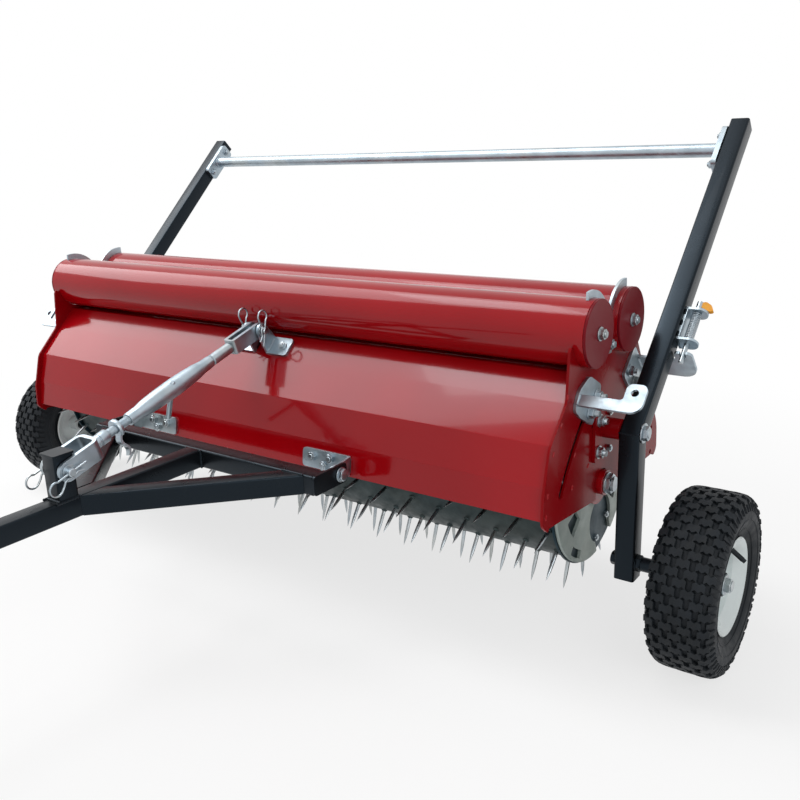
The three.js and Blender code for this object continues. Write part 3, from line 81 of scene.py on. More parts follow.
class Solid:
    """Closed shapes in millimetres that become one mesh."""

    def __init__(self, matrix=UPRIGHT):
        self.verts = []
        self.faces = []
        self.matrix = matrix

    def turned(self, matrix):
        """What is added next is placed by this matrix."""
        self.matrix = matrix
        return self

    def put(self, verts, faces):
        base = len(self.verts)
        self.verts += [self.matrix @ Vector(v) for v in verts]
        self.faces += [tuple(base + i for i in face) for face in faces]
        return self

    def slab(self, axis, outline, start, end, holes=()):
        """An outline with holes, extruded along an axis."""
        loops = [outline, *holes]
        flat = [[Vector((a, b, 0)) for a, b in loop] for loop in loops]
        points = [p for loop in flat for p in loop]
        tris = tessellate_polygon(flat)
        n = len(points)
        verts = [on_axis(axis, p.x, p.y, d) for d in (start, end) for p in points]
        faces = [tuple(t) for t in tris] + [tuple(n + i for i in reversed(t)) for t in tris]
        first = 0
        for loop in loops:
            for i in range(len(loop)):
                j = (i + 1) % len(loop)
                faces.append((first + i, first + j, n + first + j, n + first + i))
            first += len(loop)
        return self.put(verts, faces)

    def rings(self, rings):
        """A skin over rings of equally many points, with both ends closed."""
        n = len(rings[0])
        verts = [p for ring in rings for p in ring]
        last = len(verts) - n
        faces = []
        for a in range(0, last, n):
            for i in range(n):
                j = (i + 1) % n
                faces.append((a + i, a + j, a + n + j, a + n + i))
        faces += [tuple(range(n)), tuple(reversed(range(last, len(verts))))]
        return self.put(verts, faces)

    def revolve(self, axis, a, b, profile, sides=64, closed=True):
        """A profile of (distance, radius) turned round an axis; an open one gets flat ends."""
        n = len(profile)
        verts, faces = [], []
        for k in range(sides):
            t = 2 * math.pi * k / sides
            verts += [on_axis(axis, *polar(a, b, r, t), d) for d, r in profile]
            u, v = k * n, (k + 1) % sides * n
            for i in range(n if closed else n - 1):
                j = (i + 1) % n
                faces.append((u + i, v + i, v + j, u + j))
        if not closed:
            starts = range(0, sides * n, n)
            faces += [tuple(starts), tuple(i + n - 1 for i in reversed(starts))]
        return self.put(verts, faces)

    def rod(self, axis, a, b, r, start, end, sides=40, chamfer=0.8):
        """A round bar with chamfered ends."""
        c = min(chamfer, r / 3, abs(end - start) / 3)
        way = 1 if end > start else -1
        profile = [(start, r - c), (start + way * c, r), (end - way * c, r), (end, r - c)]
        return self.revolve(axis, a, b, profile, sides, closed=False)

    def hexagon(self, axis, a, b, r, start, end, turn):
        """A hexagon head or nut, with the rounded chamfer of its corners towards its end."""
        per_flat, top_share, slope, least = 5, 0.98, 0.6, 0.2
        flat = r * math.cos(math.pi / 6)
        way = 1 if end > start else -1
        low, side, top = [], [], []
        for k in range(6 * per_flat):
            t = 2 * math.pi * k / (6 * per_flat) + turn
            away = flat / math.cos((t - turn) % (math.pi / 3) - math.pi / 6)
            inner = min(away, flat * top_share)
            edge = end - way * ((away - inner) * slope + least)
            for ring, radius, d in ((low, away, start), (side, away, edge), (top, inner, end)):
                ring.append(on_axis(axis, *polar(a, b, radius, t), d))
        return self.rings([low, side, top])

    def bolt(self, axis, a, b, face, way, size, thread):
        """A washer, if the size has one, a head, and a threaded end that stands out of it."""
        head, high, washer, thick, shank = size
        turn = rng.uniform(0, 1)
        start = face + way * thick
        if washer:
            self.rod(axis, a, b, washer, face, start, 32, 0.4)
        self.hexagon(axis, a, b, head, start, start + way * high, turn)
        return self.thread(axis, a, b, shank, start + way * high * 0.6, start + way * (high + thread))

    def thread(self, axis, a, b, r, start, end, pitch=1.6, sides=24):
        """A threaded end, as rings of crests and roots."""
        steps = max(2, int(abs(end - start) / pitch * 2))
        radii = (r - pitch * 0.4, r)
        profile = [(start + (end - start) * i / steps, radii[i % 2]) for i in range(steps + 1)]
        return self.revolve(axis, a, b, profile, sides, closed=False)

    def sweep(self, path, radii, sides):
        """A round wire along a list of points, with a radius for each of them."""
        rings = []
        normal = None
        for i, (p, r) in enumerate(zip(path, radii)):
            ahead = path[min(i + 1, len(path) - 1)] - path[max(i - 1, 0)]
            ahead.normalize()
            if normal is None:
                normal = ahead.orthogonal()
            normal = (normal - ahead * normal.dot(ahead)).normalized()
            side = ahead.cross(normal)
            turns = [2 * math.pi * k / sides for k in range(sides)]
            rings.append([p + normal * r * math.cos(t) + side * r * math.sin(t) for t in turns])
        return self.rings(rings)

    def wire(self, path, radius, sides):
        return self.sweep(path, [radius] * len(path), sides)

    def weld(self, path, radius):
        """A weld bead with the ripples of its passes."""
        smooth = resample([Vector(p) for p in path], WELD_STEP)
        ripple = [
            radius * (1 + 0.14 * math.sin(i * 1.9) + 0.05 * rng.uniform(-1, 1))
            for i in range(len(smooth))
        ]
        ripple[0] = ripple[-1] = radius * 0.6
        return self.sweep(smooth, ripple, 8)


def on_axis(axis, a, b, d):
    """Along x the plane is (y, z), along y it is (z, x), along z it is (x, y)."""
    return {"x": Vector((d, a, b)), "y": Vector((b, d, a)), "z": Vector((a, b, d))}[axis]


def resample(path, step):
    out = [path[0]]
    for p, q in zip(path, path[1:]):
        n = max(1, int((q - p).length / step))
        out += [p.lerp(q, i / n) for i in range(1, n + 1)]
    return out


def polar(a, b, r, t):
    """The point at distance r from (a, b), in the direction of t radians."""
    return (a + r * math.cos(t), b + r * math.sin(t))


def arc(a, b, r, start, end, steps=24):
    return [polar(a, b, r, rad(start + (end - start) * i / steps)) for i in range(steps + 1)]


def circle(a, b, r, steps=40):
    return arc(a, b, r, 0, 360, steps)[:-1]


def rect(a0, a1, b0, b1):
    return [(a0, b0), (a1, b0), (a1, b1), (a0, b1)]


def rounded(points, radius, steps=6):
    """Corners become smooth, and the points of a curve stay."""
    least_corner, share = math.pi / 9, 1 / 2.2
    out = []
    for i, p in enumerate(points):
        here = Vector(p)
        back = Vector(points[i - 1]) - here
        ahead = Vector(points[(i + 1) % len(points)]) - here
        if math.pi - back.angle(ahead) < least_corner:
            out.append(tuple(p))
            continue
        room = min(radius, back.length * share, ahead.length * share)
        a, c = here + back.normalized() * room, here + ahead.normalized() * room
        for t in (k / steps for k in range(steps + 1)):
            out.append(tuple(a * (1 - t) ** 2 + here * 2 * t * (1 - t) + c * t * t))
    return out


# ---------------------------------------------------------------- materials

WHITE = (1.0, 1.0, 1.0)


class Nodes:
    """The node tree of a material or world, with the nodes that the looks here are made of."""

    def __init__(self, owner):
        owner.use_nodes = True
        self.owner = owner
        self.tree = owner.node_tree
        self.coords = self.tree.nodes.new("ShaderNodeTexCoord").outputs

    def feed(self, node, values):
        """Numbers and colours are set, and the outputs of other nodes are linked."""
        for name, value in values.items():
            socket = node.inputs[name]
            if isinstance(value, (int, float)):
                socket.default_value = value
            elif isinstance(value, tuple):
                socket.default_value = (*value, 1)
            elif value is not None:
                self.tree.links.new(value, socket)
        return node

    def add(self, kind, values, out=0, **settings):
        node = self.tree.nodes.new(kind)
        for name, value in settings.items():
            setattr(node, name, value)
        return self.feed(node, values).outputs[out]

    def shader(self, values):
        return self.feed(self.tree.nodes["Principled BSDF"], values).outputs[0]

    def noise(self, scale, detail, rough=0.5):
        place = self.coords["Object"]
        values = {"Scale": scale, "Detail": detail, "Roughness": rough, "Vector": place}
        return self.add("ShaderNodeTexNoise", values)

    def ramp(self, value, *stops):
        """Stops are a position and a colour, or a grey level."""
        node = self.feed(self.tree.nodes.new("ShaderNodeValToRGB"), {"Fac": value})
        while len(node.color_ramp.elements) < len(stops):
            node.color_ramp.elements.new(0.5)
        for element, (at, colour) in zip(node.color_ramp.elements, stops):
            element.position = at
            element.color = (*(colour if isinstance(colour, tuple) else (colour,) * 3), 1)
        return node.outputs["Color"]

    def mix(self, factor, a, b):
        values = {"Factor": factor, "A": a, "B": b}
        return self.add("ShaderNodeMix", values, "Result", data_type="RGBA")

    def bump(self, height, strength, distance, chain=None):
        values = {"Strength": strength, "Distance": distance, "Height": height, "Normal": chain}
        return self.add("ShaderNodeBump", values)


def new_material(name):
    return Nodes(bpy.data.materials.new(name))


def paint(name, colour, deep, roughness, gloss, coat, dust, tint=WHITE):
    """Sprayed and baked paint: a little orange peel, worn a shade lighter where it is handled."""
    n = new_material(name)
    broad = n.ramp(n.noise(2.6, 2), (0.35, deep), (0.65, colour))
    dusty = n.ramp(n.noise(14, 8, 0.65), (0.52, 0), (0.8, dust))
    peel = n.bump(n.noise(900, 2), 0.035, 0.0004)
    n.shader(
        {
            "Base Color": n.mix(dusty, broad, (0.45, 0.42, 0.4)),
            "Roughness": n.ramp(n.noise(9, 6), (0.3, roughness * 0.8), (0.75, roughness * 1.25)),
            "Specular IOR Level": gloss,
            "Specular Tint": tint,
            "Coat Weight": coat,
            "Coat Roughness": 0.04,
            "Normal": n.bump(n.noise(5, 1), 0.05, 0.004, peel),
        }
    )
    return n.owner


def zinc(name, low, high, roughness, tint=(0.4, 0.48, 0.56), warm=(0.5, 0.5, 0.46), grain=60, metal=1.0):
    """Bright zinc plate: steel blue to warm patches, faint scratches and dull spots."""
    n = new_material(name)
    base = n.ramp(n.noise(22, 5, 0.6), (0.3, low), (0.7, high))
    blush = n.ramp(n.noise(9, 3), (0.42, high), (0.5, tint), (0.62, warm))
    cloudy = n.ramp(n.noise(grain, 8, 0.7), (0.3, roughness * 0.7), (0.75, roughness * 1.5))
    fine = n.bump(n.noise(400, 3), 0.1, 0.0003)
    n.shader(
        {
            "Base Color": n.mix(0.28, base, blush),
            "Metallic": metal,
            "Roughness": cloudy,
            "Normal": n.bump(n.noise(40, 4), 0.06, 0.001, fine),
        }
    )
    return n.owner


def rubber(name):
    n = new_material(name)
    dull, pale = (0.006, 0.008, 0.010), (0.016, 0.02, 0.025)
    n.shader(
        {
            "Base Color": n.ramp(n.noise(30, 6, 0.6), (0.3, dull), (0.75, pale)),
            "Roughness": n.ramp(n.noise(60, 5), (0.3, 0.5), (0.7, 0.72)),
            "Specular IOR Level": 0.22,
            "Normal": n.bump(n.noise(700, 4), 0.25, 0.0004),
        }
    )
    return n.owner


def plastic(name, colour, deep):
    n = new_material(name)
    n.shader(
        {
            "Base Color": n.ramp(n.noise(40, 4), (0.3, deep), (0.7, colour)),
            "Roughness": 0.32,
            "Specular IOR Level": 0.25,
            "Normal": n.bump(n.noise(500, 2), 0.08, 0.0003),
        }
    )
    return n.owner


# The tints lean to the blue of the sky over the photographed machine
RED_SKY, BLACK_SKY = (0.78, 0.9, 1.0), (0.5, 0.75, 1.0)
RED = paint("red_gloss", (0.36, 0.0012, 0.0045), (0.29, 0.0008, 0.003), 0.13, 0.19, 0.24, 0.004, RED_SKY)
# Painted shade: a darker, less glossy copy of the red gloss for the side plates and pivot plates
RED_PLATE_SHADED = paint("red_plates_painted_shade", (0.25, 0.001, 0.0035), (0.2, 0.0006, 0.0025), 0.24, 0.08, 0.05, 0.004)
RED_DARK = paint("red_end_discs", (0.2, 0.005, 0.012), (0.15, 0.003, 0.008), 0.35, 0.09, 0.04, 0.004)
SATIN, SATIN_DEEP = (0.0062, 0.0072, 0.0085), (0.004, 0.0046, 0.0056)
BLACK = paint("black_satin", SATIN, SATIN_DEEP, 0.28, 0.23, 0.05, 0.006, BLACK_SKY)
RIM = paint("rim_pale", (0.8, 0.86, 0.86), (0.72, 0.78, 0.78), 0.3, 0.3, 0.1, 0.02)
ZINC = zinc("zinc_plate", (0.27, 0.33, 0.37), (0.44, 0.51, 0.56), 0.38)
NUTS = zinc("zinc_fasteners", (0.24, 0.28, 0.31), (0.5, 0.55, 0.58), 0.3)
GALV_HUES = ((0.27, 0.32, 0.3), (0.4, 0.45, 0.42), 0.5, (0.3, 0.36, 0.34), (0.38, 0.4, 0.36))
GALV = zinc("dull_galvanised", *GALV_HUES, 30, 0.4)
DRUM_HUES = ((0.026, 0.036, 0.037), (0.05, 0.068, 0.07), 0.46, (0.036, 0.052, 0.057), (0.05, 0.055, 0.05))
SPIKES = zinc("drum_steel", *DRUM_HUES, 30)
STEEL_TIP = zinc("spike_steel", (0.24, 0.26, 0.27), (0.52, 0.55, 0.56), 0.3)
# The disc plate's dark tone is its own; the blue cast of its metal is a painted reflection of the sky
DISC_HUES_SKY_TINTED = ((0.011, 0.026, 0.035), (0.022, 0.046, 0.058), 0.4, (0.014, 0.036, 0.05), (0.024, 0.038, 0.046))
DARK = zinc("dark_disc_sky_tinted", *DISC_HUES_SKY_TINTED, 25)
RUBBER = rubber("tyre_rubber")
AMBER = plastic("amber_plastic", (0.8, 0.35, 0.004), (0.7, 0.27, 0.003))
SLOTS = {
    **dict.fromkeys((RED, RED_PLATE_SHADED, RED_DARK), "red_paint"),
    **dict.fromkeys((ZINC, NUTS, GALV), "zinc"),
    **dict.fromkeys((SPIKES, STEEL_TIP), "drum_steel"),
    BLACK: "black_paint",
    DARK: "dark_steel",
    RUBBER: "tyre_rubber",
    RIM: "rim_paint",
    AMBER: "amber_plastic",
}


# ---------------------------------------------------------------- pieces


def add_object(name, data):
    obj = bpy.data.objects.new(name, data)
    bpy.context.scene.collection.objects.link(obj)
    return obj


def piece(name, solid, material, body, stands_for=(), edge=0.6, smooth=38, matrix=UPRIGHT):
    """Makes a mesh of the solid, rides it on its body and hides the nodes that it stands for."""
    mesh = bpy.data.meshes.new(name)
    to_scene = TO_SCENE @ matrix
    mesh.from_pydata([to_scene @ v for v in solid.verts], [], solid.faces)
    bm = bmesh.new()
    bm.from_mesh(mesh)
    bmesh.ops.recalc_face_normals(bm, faces=bm.faces)
    bm.to_mesh(mesh)
    bm.free()
    for polygon in mesh.polygons:
        polygon.use_smooth = True
    mesh.set_sharp_from_angle(angle=rad(smooth))
    mesh.materials.append(material)
    obj = add_object(name, mesh)
    if edge:
        bevel = obj.modifiers.new("edges", "BEVEL")
        bevel.width = edge * MM
        bevel.segments = 2
        bevel.limit_method = "ANGLE"
        bevel.angle_limit = rad(40)
        bevel.harden_normals = True
        bevel.use_clamp_overlap = True
    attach(obj, body)
    if stands_for:
        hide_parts(*stands_for)
    return obj


def both_sides(name, solid, material, body, stands_for=(), **options):
    """One piece for each side; body and nodes hold the side's name where they differ."""
    made = []
    for side, mirror in SIDES:
        rides, nodes = body.format(side=side), [n.format(side=side) for n in stands_for]
        made.append(piece(f"{name}_{side}", solid, material, rides, nodes, matrix=mirror, **options))
    return made


# Bolts: radius of the head's corners, its height, radius of the washer, its thickness, radius of
# the thread
M12 = (10.5, 8.0, 13.0, 2.5, 6.0)
M10 = (8.5, 6.5, 10.0, 2.0, 5.0)
PLAIN = (8.0, 6.0, 0.0, 0.0, 4.5)
HINGE_BOLT = (10, 8, 0, 0, 5.5)
DISC_BOLT = (7.5, 5, 0, 0, 4)


def bolt_set(name, places, face, size, thread, body, solid=None, axis="x", way=1, edge=0.3):
    """Bolts of one size on one face, added to a solid that may hold others."""
    bolts = solid or Solid()
    for a, b in places:
        bolts.bolt(axis, a, b, face, way, size, thread)
    both_sides(name, bolts, NUTS, body, edge=edge)


def weld_set(name, paths, radius, material, body, matrix=UPRIGHT, make=both_sides):
    beads = Solid(matrix)
    for path in paths:
        beads.weld(path, radius)
    make(name, beads, material, body, edge=0)


# ---------------------------------------------------------------- camera and light

CAMERA_AT = Vector((1376.8, -1502.8, 530.8))
CAMERA_YAW, CAMERA_PITCH, CAMERA_ROLL = rad(-36.17), rad(-16.34), rad(-2.09)
FOCAL_PIXELS, FRAME_PIXELS, SENSOR, CAMERA_FAR = 879.5, 800, 36.0, 60.0
LIT = Vector((0.0, 0.1, 0.5))
WORLD_FILL = 0.34
# Each lamp: its direction from the machine, distance, width, height and power
LAMPS = (
    ("sky", (-0.64, -0.1, 0.76), 4.2, 2.6, 3.9, 136),
    ("top", (-0.25, -0.05, 1.0), 4.0, 1.6, 2.2, 42),
    ("right", (0.85, -0.45, 0.45), 4.0, 2.0, 2.0, 38),
)
FLOOR_HALF = 30.0
FLOOR_FADE = {"From Min": 0.9, "From Max": 2.6, "To Min": 0.72}


def make_camera():
    data = bpy.data.cameras.new("camera")
    data.sensor_width = SENSOR
    data.lens = FOCAL_PIXELS / FRAME_PIXELS * SENSOR
    data.clip_end = CAMERA_FAR
    camera = add_object("camera", data)
    level = Matrix.Rotation(-CAMERA_YAW, 4, "Z") @ Matrix.Rotation(math.pi / 2 + CAMERA_PITCH, 4, "X")
    turn = level @ Matrix.Rotation(CAMERA_ROLL, 4, "Z")
    camera.matrix_world = Matrix.Translation(TO_SCENE @ CAMERA_AT) @ turn
    bpy.context.scene.camera = camera


def make_lamps():
    for name, way, distance, wide, tall, power in LAMPS:
        data = bpy.data.lights.new(name, "AREA")
        data.shape = "RECTANGLE"
        data.size, data.size_y = wide, tall
        data.energy = power
        way = Vector(way).normalized()
        turn = (-way).to_track_quat("-Z", "Y").to_matrix().to_4x4()
        add_object(name, data).matrix_world = Matrix.Translation(LIT + way * distance) @ turn


def seen_directly(n):
    """One where the camera, a reflection or a clear pane sees the surface, nought for its light."""
    path = n.tree.nodes.new("ShaderNodeLightPath").outputs
    total = path["Is Camera Ray"]
    for name in ("Is Glossy Ray", "Is Transmission Ray"):
        total = n.add("ShaderNodeMath", {0: total, 1: path[name]}, operation="MAXIMUM")
    return total


def make_world():
    """A white world that is seen bright and lights weakly."""
    world = bpy.data.worlds.new("studio")
    bpy.context.scene.world = world
    n = Nodes(world)
    levels = {"To Min": WORLD_FILL, "To Max": 1.0, "Value": seen_directly(n)}
    strength = n.add("ShaderNodeMapRange", levels)
    n.feed(n.tree.nodes["Background"], {"Strength": strength, "Color": WHITE})


def make_floor():
    """A floor that takes shadows near the machine and fades into the white world."""
    mesh = bpy.data.meshes.new("floor")
    corners = rect(-FLOOR_HALF, FLOOR_HALF, -FLOOR_HALF, FLOOR_HALF)
    mesh.from_pydata([(x, y, 0) for x, y in corners], [], [(0, 1, 2, 3)])
    floor = add_object("floor", mesh)
    n = new_material("floor")
    tint = n.ramp(n.noise(1.5, 3), (0.3, 0.83), (0.7, 0.86))
    lit = n.shader({"Base Color": tint, "Roughness": 0.8, "Specular IOR Level": 0.1})
    length = n.add("ShaderNodeVectorMath", {0: n.coords["Object"]}, "Value", operation="LENGTH")
    fade = {**FLOOR_FADE, "Value": length}
    far = n.add("ShaderNodeMapRange", fade, interpolation_type="SMOOTHSTEP")
    seen = n.add("ShaderNodeMath", {0: far, 1: seen_directly(n)}, operation="MULTIPLY")
    glow = n.add("ShaderNodeEmission", {"Strength": 1.0})
    blend = n.add("ShaderNodeMixShader", {0: seen, 1: lit, 2: glow})
    n.feed(n.tree.nodes["Material Output"], {"Surface": blend})
    mesh.materials.append(n.owner)


# ---------------------------------------------------------------- hood and side plates

HOOD_HALF, PLATE, SHEET = 750.0, 5.0, 3.0
INSIDE, OUTSIDE = HOOD_HALF - PLATE - FIT, HOOD_HALF + FIT  # the faces next to a side plate
SHEET_LINE = [
    *((-235.2, -108.9), (-226.8, -49.5), (-206.1, 21.1), (-145.6, 82.5), (-98.6, 126.7)),
    *((107.5, 126.7), (174.7, 99.0), (271.6, -36.3), (286.7, -72.6)),
]
FOLD_RADIUS = 6.0
PLATE_FRONT = [
    *((-221.8, -134.0), (-244.2, -113.9), (-240.8, -60.1)),
    *((-218.4, 21.1), (-154.0, 86.5), (-145.6, 178.2)),
]
PLATE_REAR = [
    *((147.8, 168.3), (187.0, 103.0), (280.0, -38.0)),
    *((303.0, -78.9), (308.0, -137.0), (288.4, -152.5)),
]
PLATE_LOW = -144.0
FRONT_TUBE, REAR_TUBE = (-72.0, 195.0), (79.0, 193.5)
TUBE_R, TUBE_WALL, TUBE_HALF, TUBE_DISC = 62.4, 3.0, 766.0, 5.0
CRADLE_R = TUBE_R + FIT
DRUM = (8.0, -115.0)
DRUM_NOTCH = 27.0
SLOT = (285.0, -343.0)
SLOT_R, SLOT_HALF, SLOT_START, SLOT_END = 530.0, 8.5, 126.6, 150.0
PLATE_HOLES = ((269, -80, 5, 24), (269, -134, 5, 24), (0, 0, 10.5, 32))
# Where tabs of the sheet come through the plate: y, z and the direction of the short weld
TAB_WELDS = (
    *((-226, -62, 80), (-206, 8, 65), (-178, 52, 45), (-152, 96, 80), (-120, -20, 60)),
    *((-128, -80, 75), (-232, -100, 70), (-60, -60, 40), (196, 60, 125), (244, -22, 125)),
)


def bent_strip(line, thickness, radius, steps=5):
    """The two sides of a sheet folded along a line, with rounded bends."""
    outer, inner = [], []
    for i, p in enumerate(line):
        here = Vector(p)
        if i in (0, len(line) - 1):
            way = (Vector(line[1]) - here if i == 0 else here - Vector(line[-2])).normalized()
            outer.append(here)
            inner.append(here + Vector((way.y, -way.x)) * thickness)
            continue
        before = (here - Vector(line[i - 1])).normalized()
        after = (Vector(line[i + 1]) - here).normalized()
        start = here - before * radius * math.tan(before.angle(after) / 2)
        centre = start + Vector((before.y, -before.x)) * radius
        for t in (k / steps for k in range(steps + 1)):
            way = (before * (1 - t) + after * t).normalized()
            out = Vector((-way.y, way.x))
            outer.append(centre + out * radius)
            inner.append(centre + out * (radius - thickness))
    return outer, inner


def on_flat(k, share, up_by, out_by):
    """The frame on a flat of the hood's sheet: x across the machine, y up the flat, z off it."""
    low, high = Vector(SHEET_LINE[k]), Vector(SHEET_LINE[k + 1])
    up = (high - low).normalized()
    out = Vector((-up.y, up.x))
    seat = low.lerp(high, share) + up * up_by + out * out_by
    rows = ((1, 0, 0, 0), (0, up.x, out.x, seat.x), (0, up.y, out.y, seat.y), (0, 0, 0, 1))
    return Matrix(rows)


def make_hood():
    outer, inner = bent_strip(SHEET_LINE, SHEET, FOLD_RADIUS)
    sheet = Solid().slab("x", [*outer, *reversed(inner)], -INSIDE, INSIDE)
    piece("hood", sheet, RED, "chassis", ["hood_sheet"], edge=0.5, smooth=25)
    front = inner[: len(inner) // 2 : 2]
    seams = [[(way * (INSIDE - 1), p.x + 1.5, p.y - 2.5) for p in front] for way in (-1, 1)]
    weld_set("hood_seams", seams, 2.4, RED, "chassis", make=piece)


def make_side_plates():
    front_y, front_z = PLATE_FRONT[-1]
    outline = [
        *rounded(PLATE_FRONT, 9)[:-3],
        (front_y + 4, front_z + 3),
        *arc(*FRONT_TUBE, CRADLE_R, 195.5, 346.3, 40),
        *arc(*REAR_TUBE, CRADLE_R, 192.5, 336.4, 40),
        *rounded(PLATE_REAR, 16),
        (DRUM[0] + DRUM_NOTCH, PLATE_LOW),
        *arc(*DRUM, DRUM_NOTCH, 0, 180, 24),
        (DRUM[0] - DRUM_NOTCH, PLATE_LOW),
    ]
    slot_end = polar(*SLOT, SLOT_R, rad(SLOT_END))
    slot = [
        *arc(*SLOT, SLOT_R + SLOT_HALF, SLOT_START, SLOT_END, 30),
        *arc(*slot_end, SLOT_HALF, SLOT_END, SLOT_END + 180, 8)[1:-1],
        *arc(*SLOT, SLOT_R - SLOT_HALF, SLOT_END, SLOT_START, 30),
    ]
    holes = [slot, *(circle(*hole) for hole in PLATE_HOLES)]
    plate = Solid().slab("x", outline, HOOD_HALF - PLATE, HOOD_HALF, holes)
    # The side plates take the darker red of painted shade
    both_sides("side_plate_sheet", plate, RED_PLATE_SHADED, "chassis", ["side_plate_{side}"], edge=0.7)

    x, reach = HOOD_HALF - 0.6, 5
    tabs = []
    for y, z, deg in TAB_WELDS:
        tabs.append([(x, *polar(y, z, way * reach, rad(deg))) for way in (-1, 1)])
    weld_set("tab_welds", tabs, 2.2, RED, "chassis")


def make_tubes():
    bore = TUBE_R - TUBE_WALL
    wall = [(-TUBE_HALF, bore), (TUBE_HALF, bore), (TUBE_HALF, TUBE_R), (-TUBE_HALF, TUBE_R)]
    start = TUBE_HALF + FIT
    face = start + TUBE_DISC
    for name, centre in (("front", FRONT_TUBE), ("rear", REAR_TUBE)):
        tube = Solid().revolve("x", *centre, wall, 128)
        piece(f"{name}_ballast_tube", tube, RED, "chassis", [f"{name}_tube"], edge=0.4)
        cap = Solid().rod("x", *centre, TUBE_R - 0.2, start, face, 96)
        both_sides(f"{name}_end_disc", cap, RED_DARK, "chassis", [name + "_tube_cap_{side}"], edge=0)
        bolt_set(f"{name}_end_bolt", [centre], face, M12, 3, "chassis")


def make_clamps():
    """A flat double hook round both tubes, with a stem between them."""
    thick, bolt_at, stem, foot = 5.0, (4.0, 160.0), 19.0, 140.0
    front_out, rear_out = CRADLE_R + 13.5, CRADLE_R + 15
    apart = Vector(REAR_TUBE) - Vector(FRONT_TUBE)
    level = math.degrees(math.atan2(apart.y, apart.x))
    half, lead = apart.length / 2, (front_out**2 - rear_out**2) / (2 * apart.length)
    front_fork = level + math.degrees(math.acos((half + lead) / front_out))
    rear_fork = level + 180 - math.degrees(math.acos((half - lead) / rear_out))
    near, far = bolt_at[0] - stem, bolt_at[0] + stem
    front_stem = -math.degrees(math.acos((near - FRONT_TUBE[0]) / CRADLE_R))
    rear_stem = 180 + math.degrees(math.acos((REAR_TUBE[0] - far) / CRADLE_R))
    outline = [
        (near, foot),
        (far, foot),
        *arc(*REAR_TUBE, CRADLE_R, rear_stem, 84, 40),
        *arc(*REAR_TUBE, rear_out, 86, rear_fork, 24),
        *arc(*FRONT_TUBE, front_out, front_fork, 102, 24),
        *arc(*FRONT_TUBE, CRADLE_R, 105, front_stem, 40),
    ]
    clamp = Solid().slab("x", outline, OUTSIDE, OUTSIDE + thick)
    both_sides("clamp_plate", clamp, ZINC, "chassis", ["tube_clamp_{side}"], edge=0.8)
    bolt_set("clamp_bolt", [bolt_at], OUTSIDE + thick, M12, 4, "chassis")


# ---------------------------------------------------------------- drum

DRUM_R, DRUM_HALF, DRUM_RIM, DRUM_WALL = 158.0, 722.0, 166.0, 4.0
DRUM_PLATE, SHAFT_R, SHAFT_BORE = 5.0, 15.0, 15.4
SPIKE_REACH, SPIKE_RINGS, SPIKES_PER_RING, SPIKE_EDGE = 62.0, 24, 15, 11.0
RINGS_PER_PITCH = 5
# Each section: its height over the drum and its half width
SPIKE_LEVELS = ((-2, 4.2), (12, 4.2), (34, 3.9), (46, 3.0), (56, 1.4), (SPIKE_REACH, 0.2))
ROOT_LEVELS = ((-1.5, 7.4), (0.5, 6.4), (2.6, 4.4))
LOBE, LOBES = -129.0, 3
LOBE_BOLTS = ((76, 128), (51, 138))  # degrees from a lobe's middle, distance from the shaft
# Windows: nearest, farthest, half their width and their middle from the lobe's, in degrees
LOBE_WINDOWS = ((85, 125, 10.5, -17), (138, 155, 9, 8))


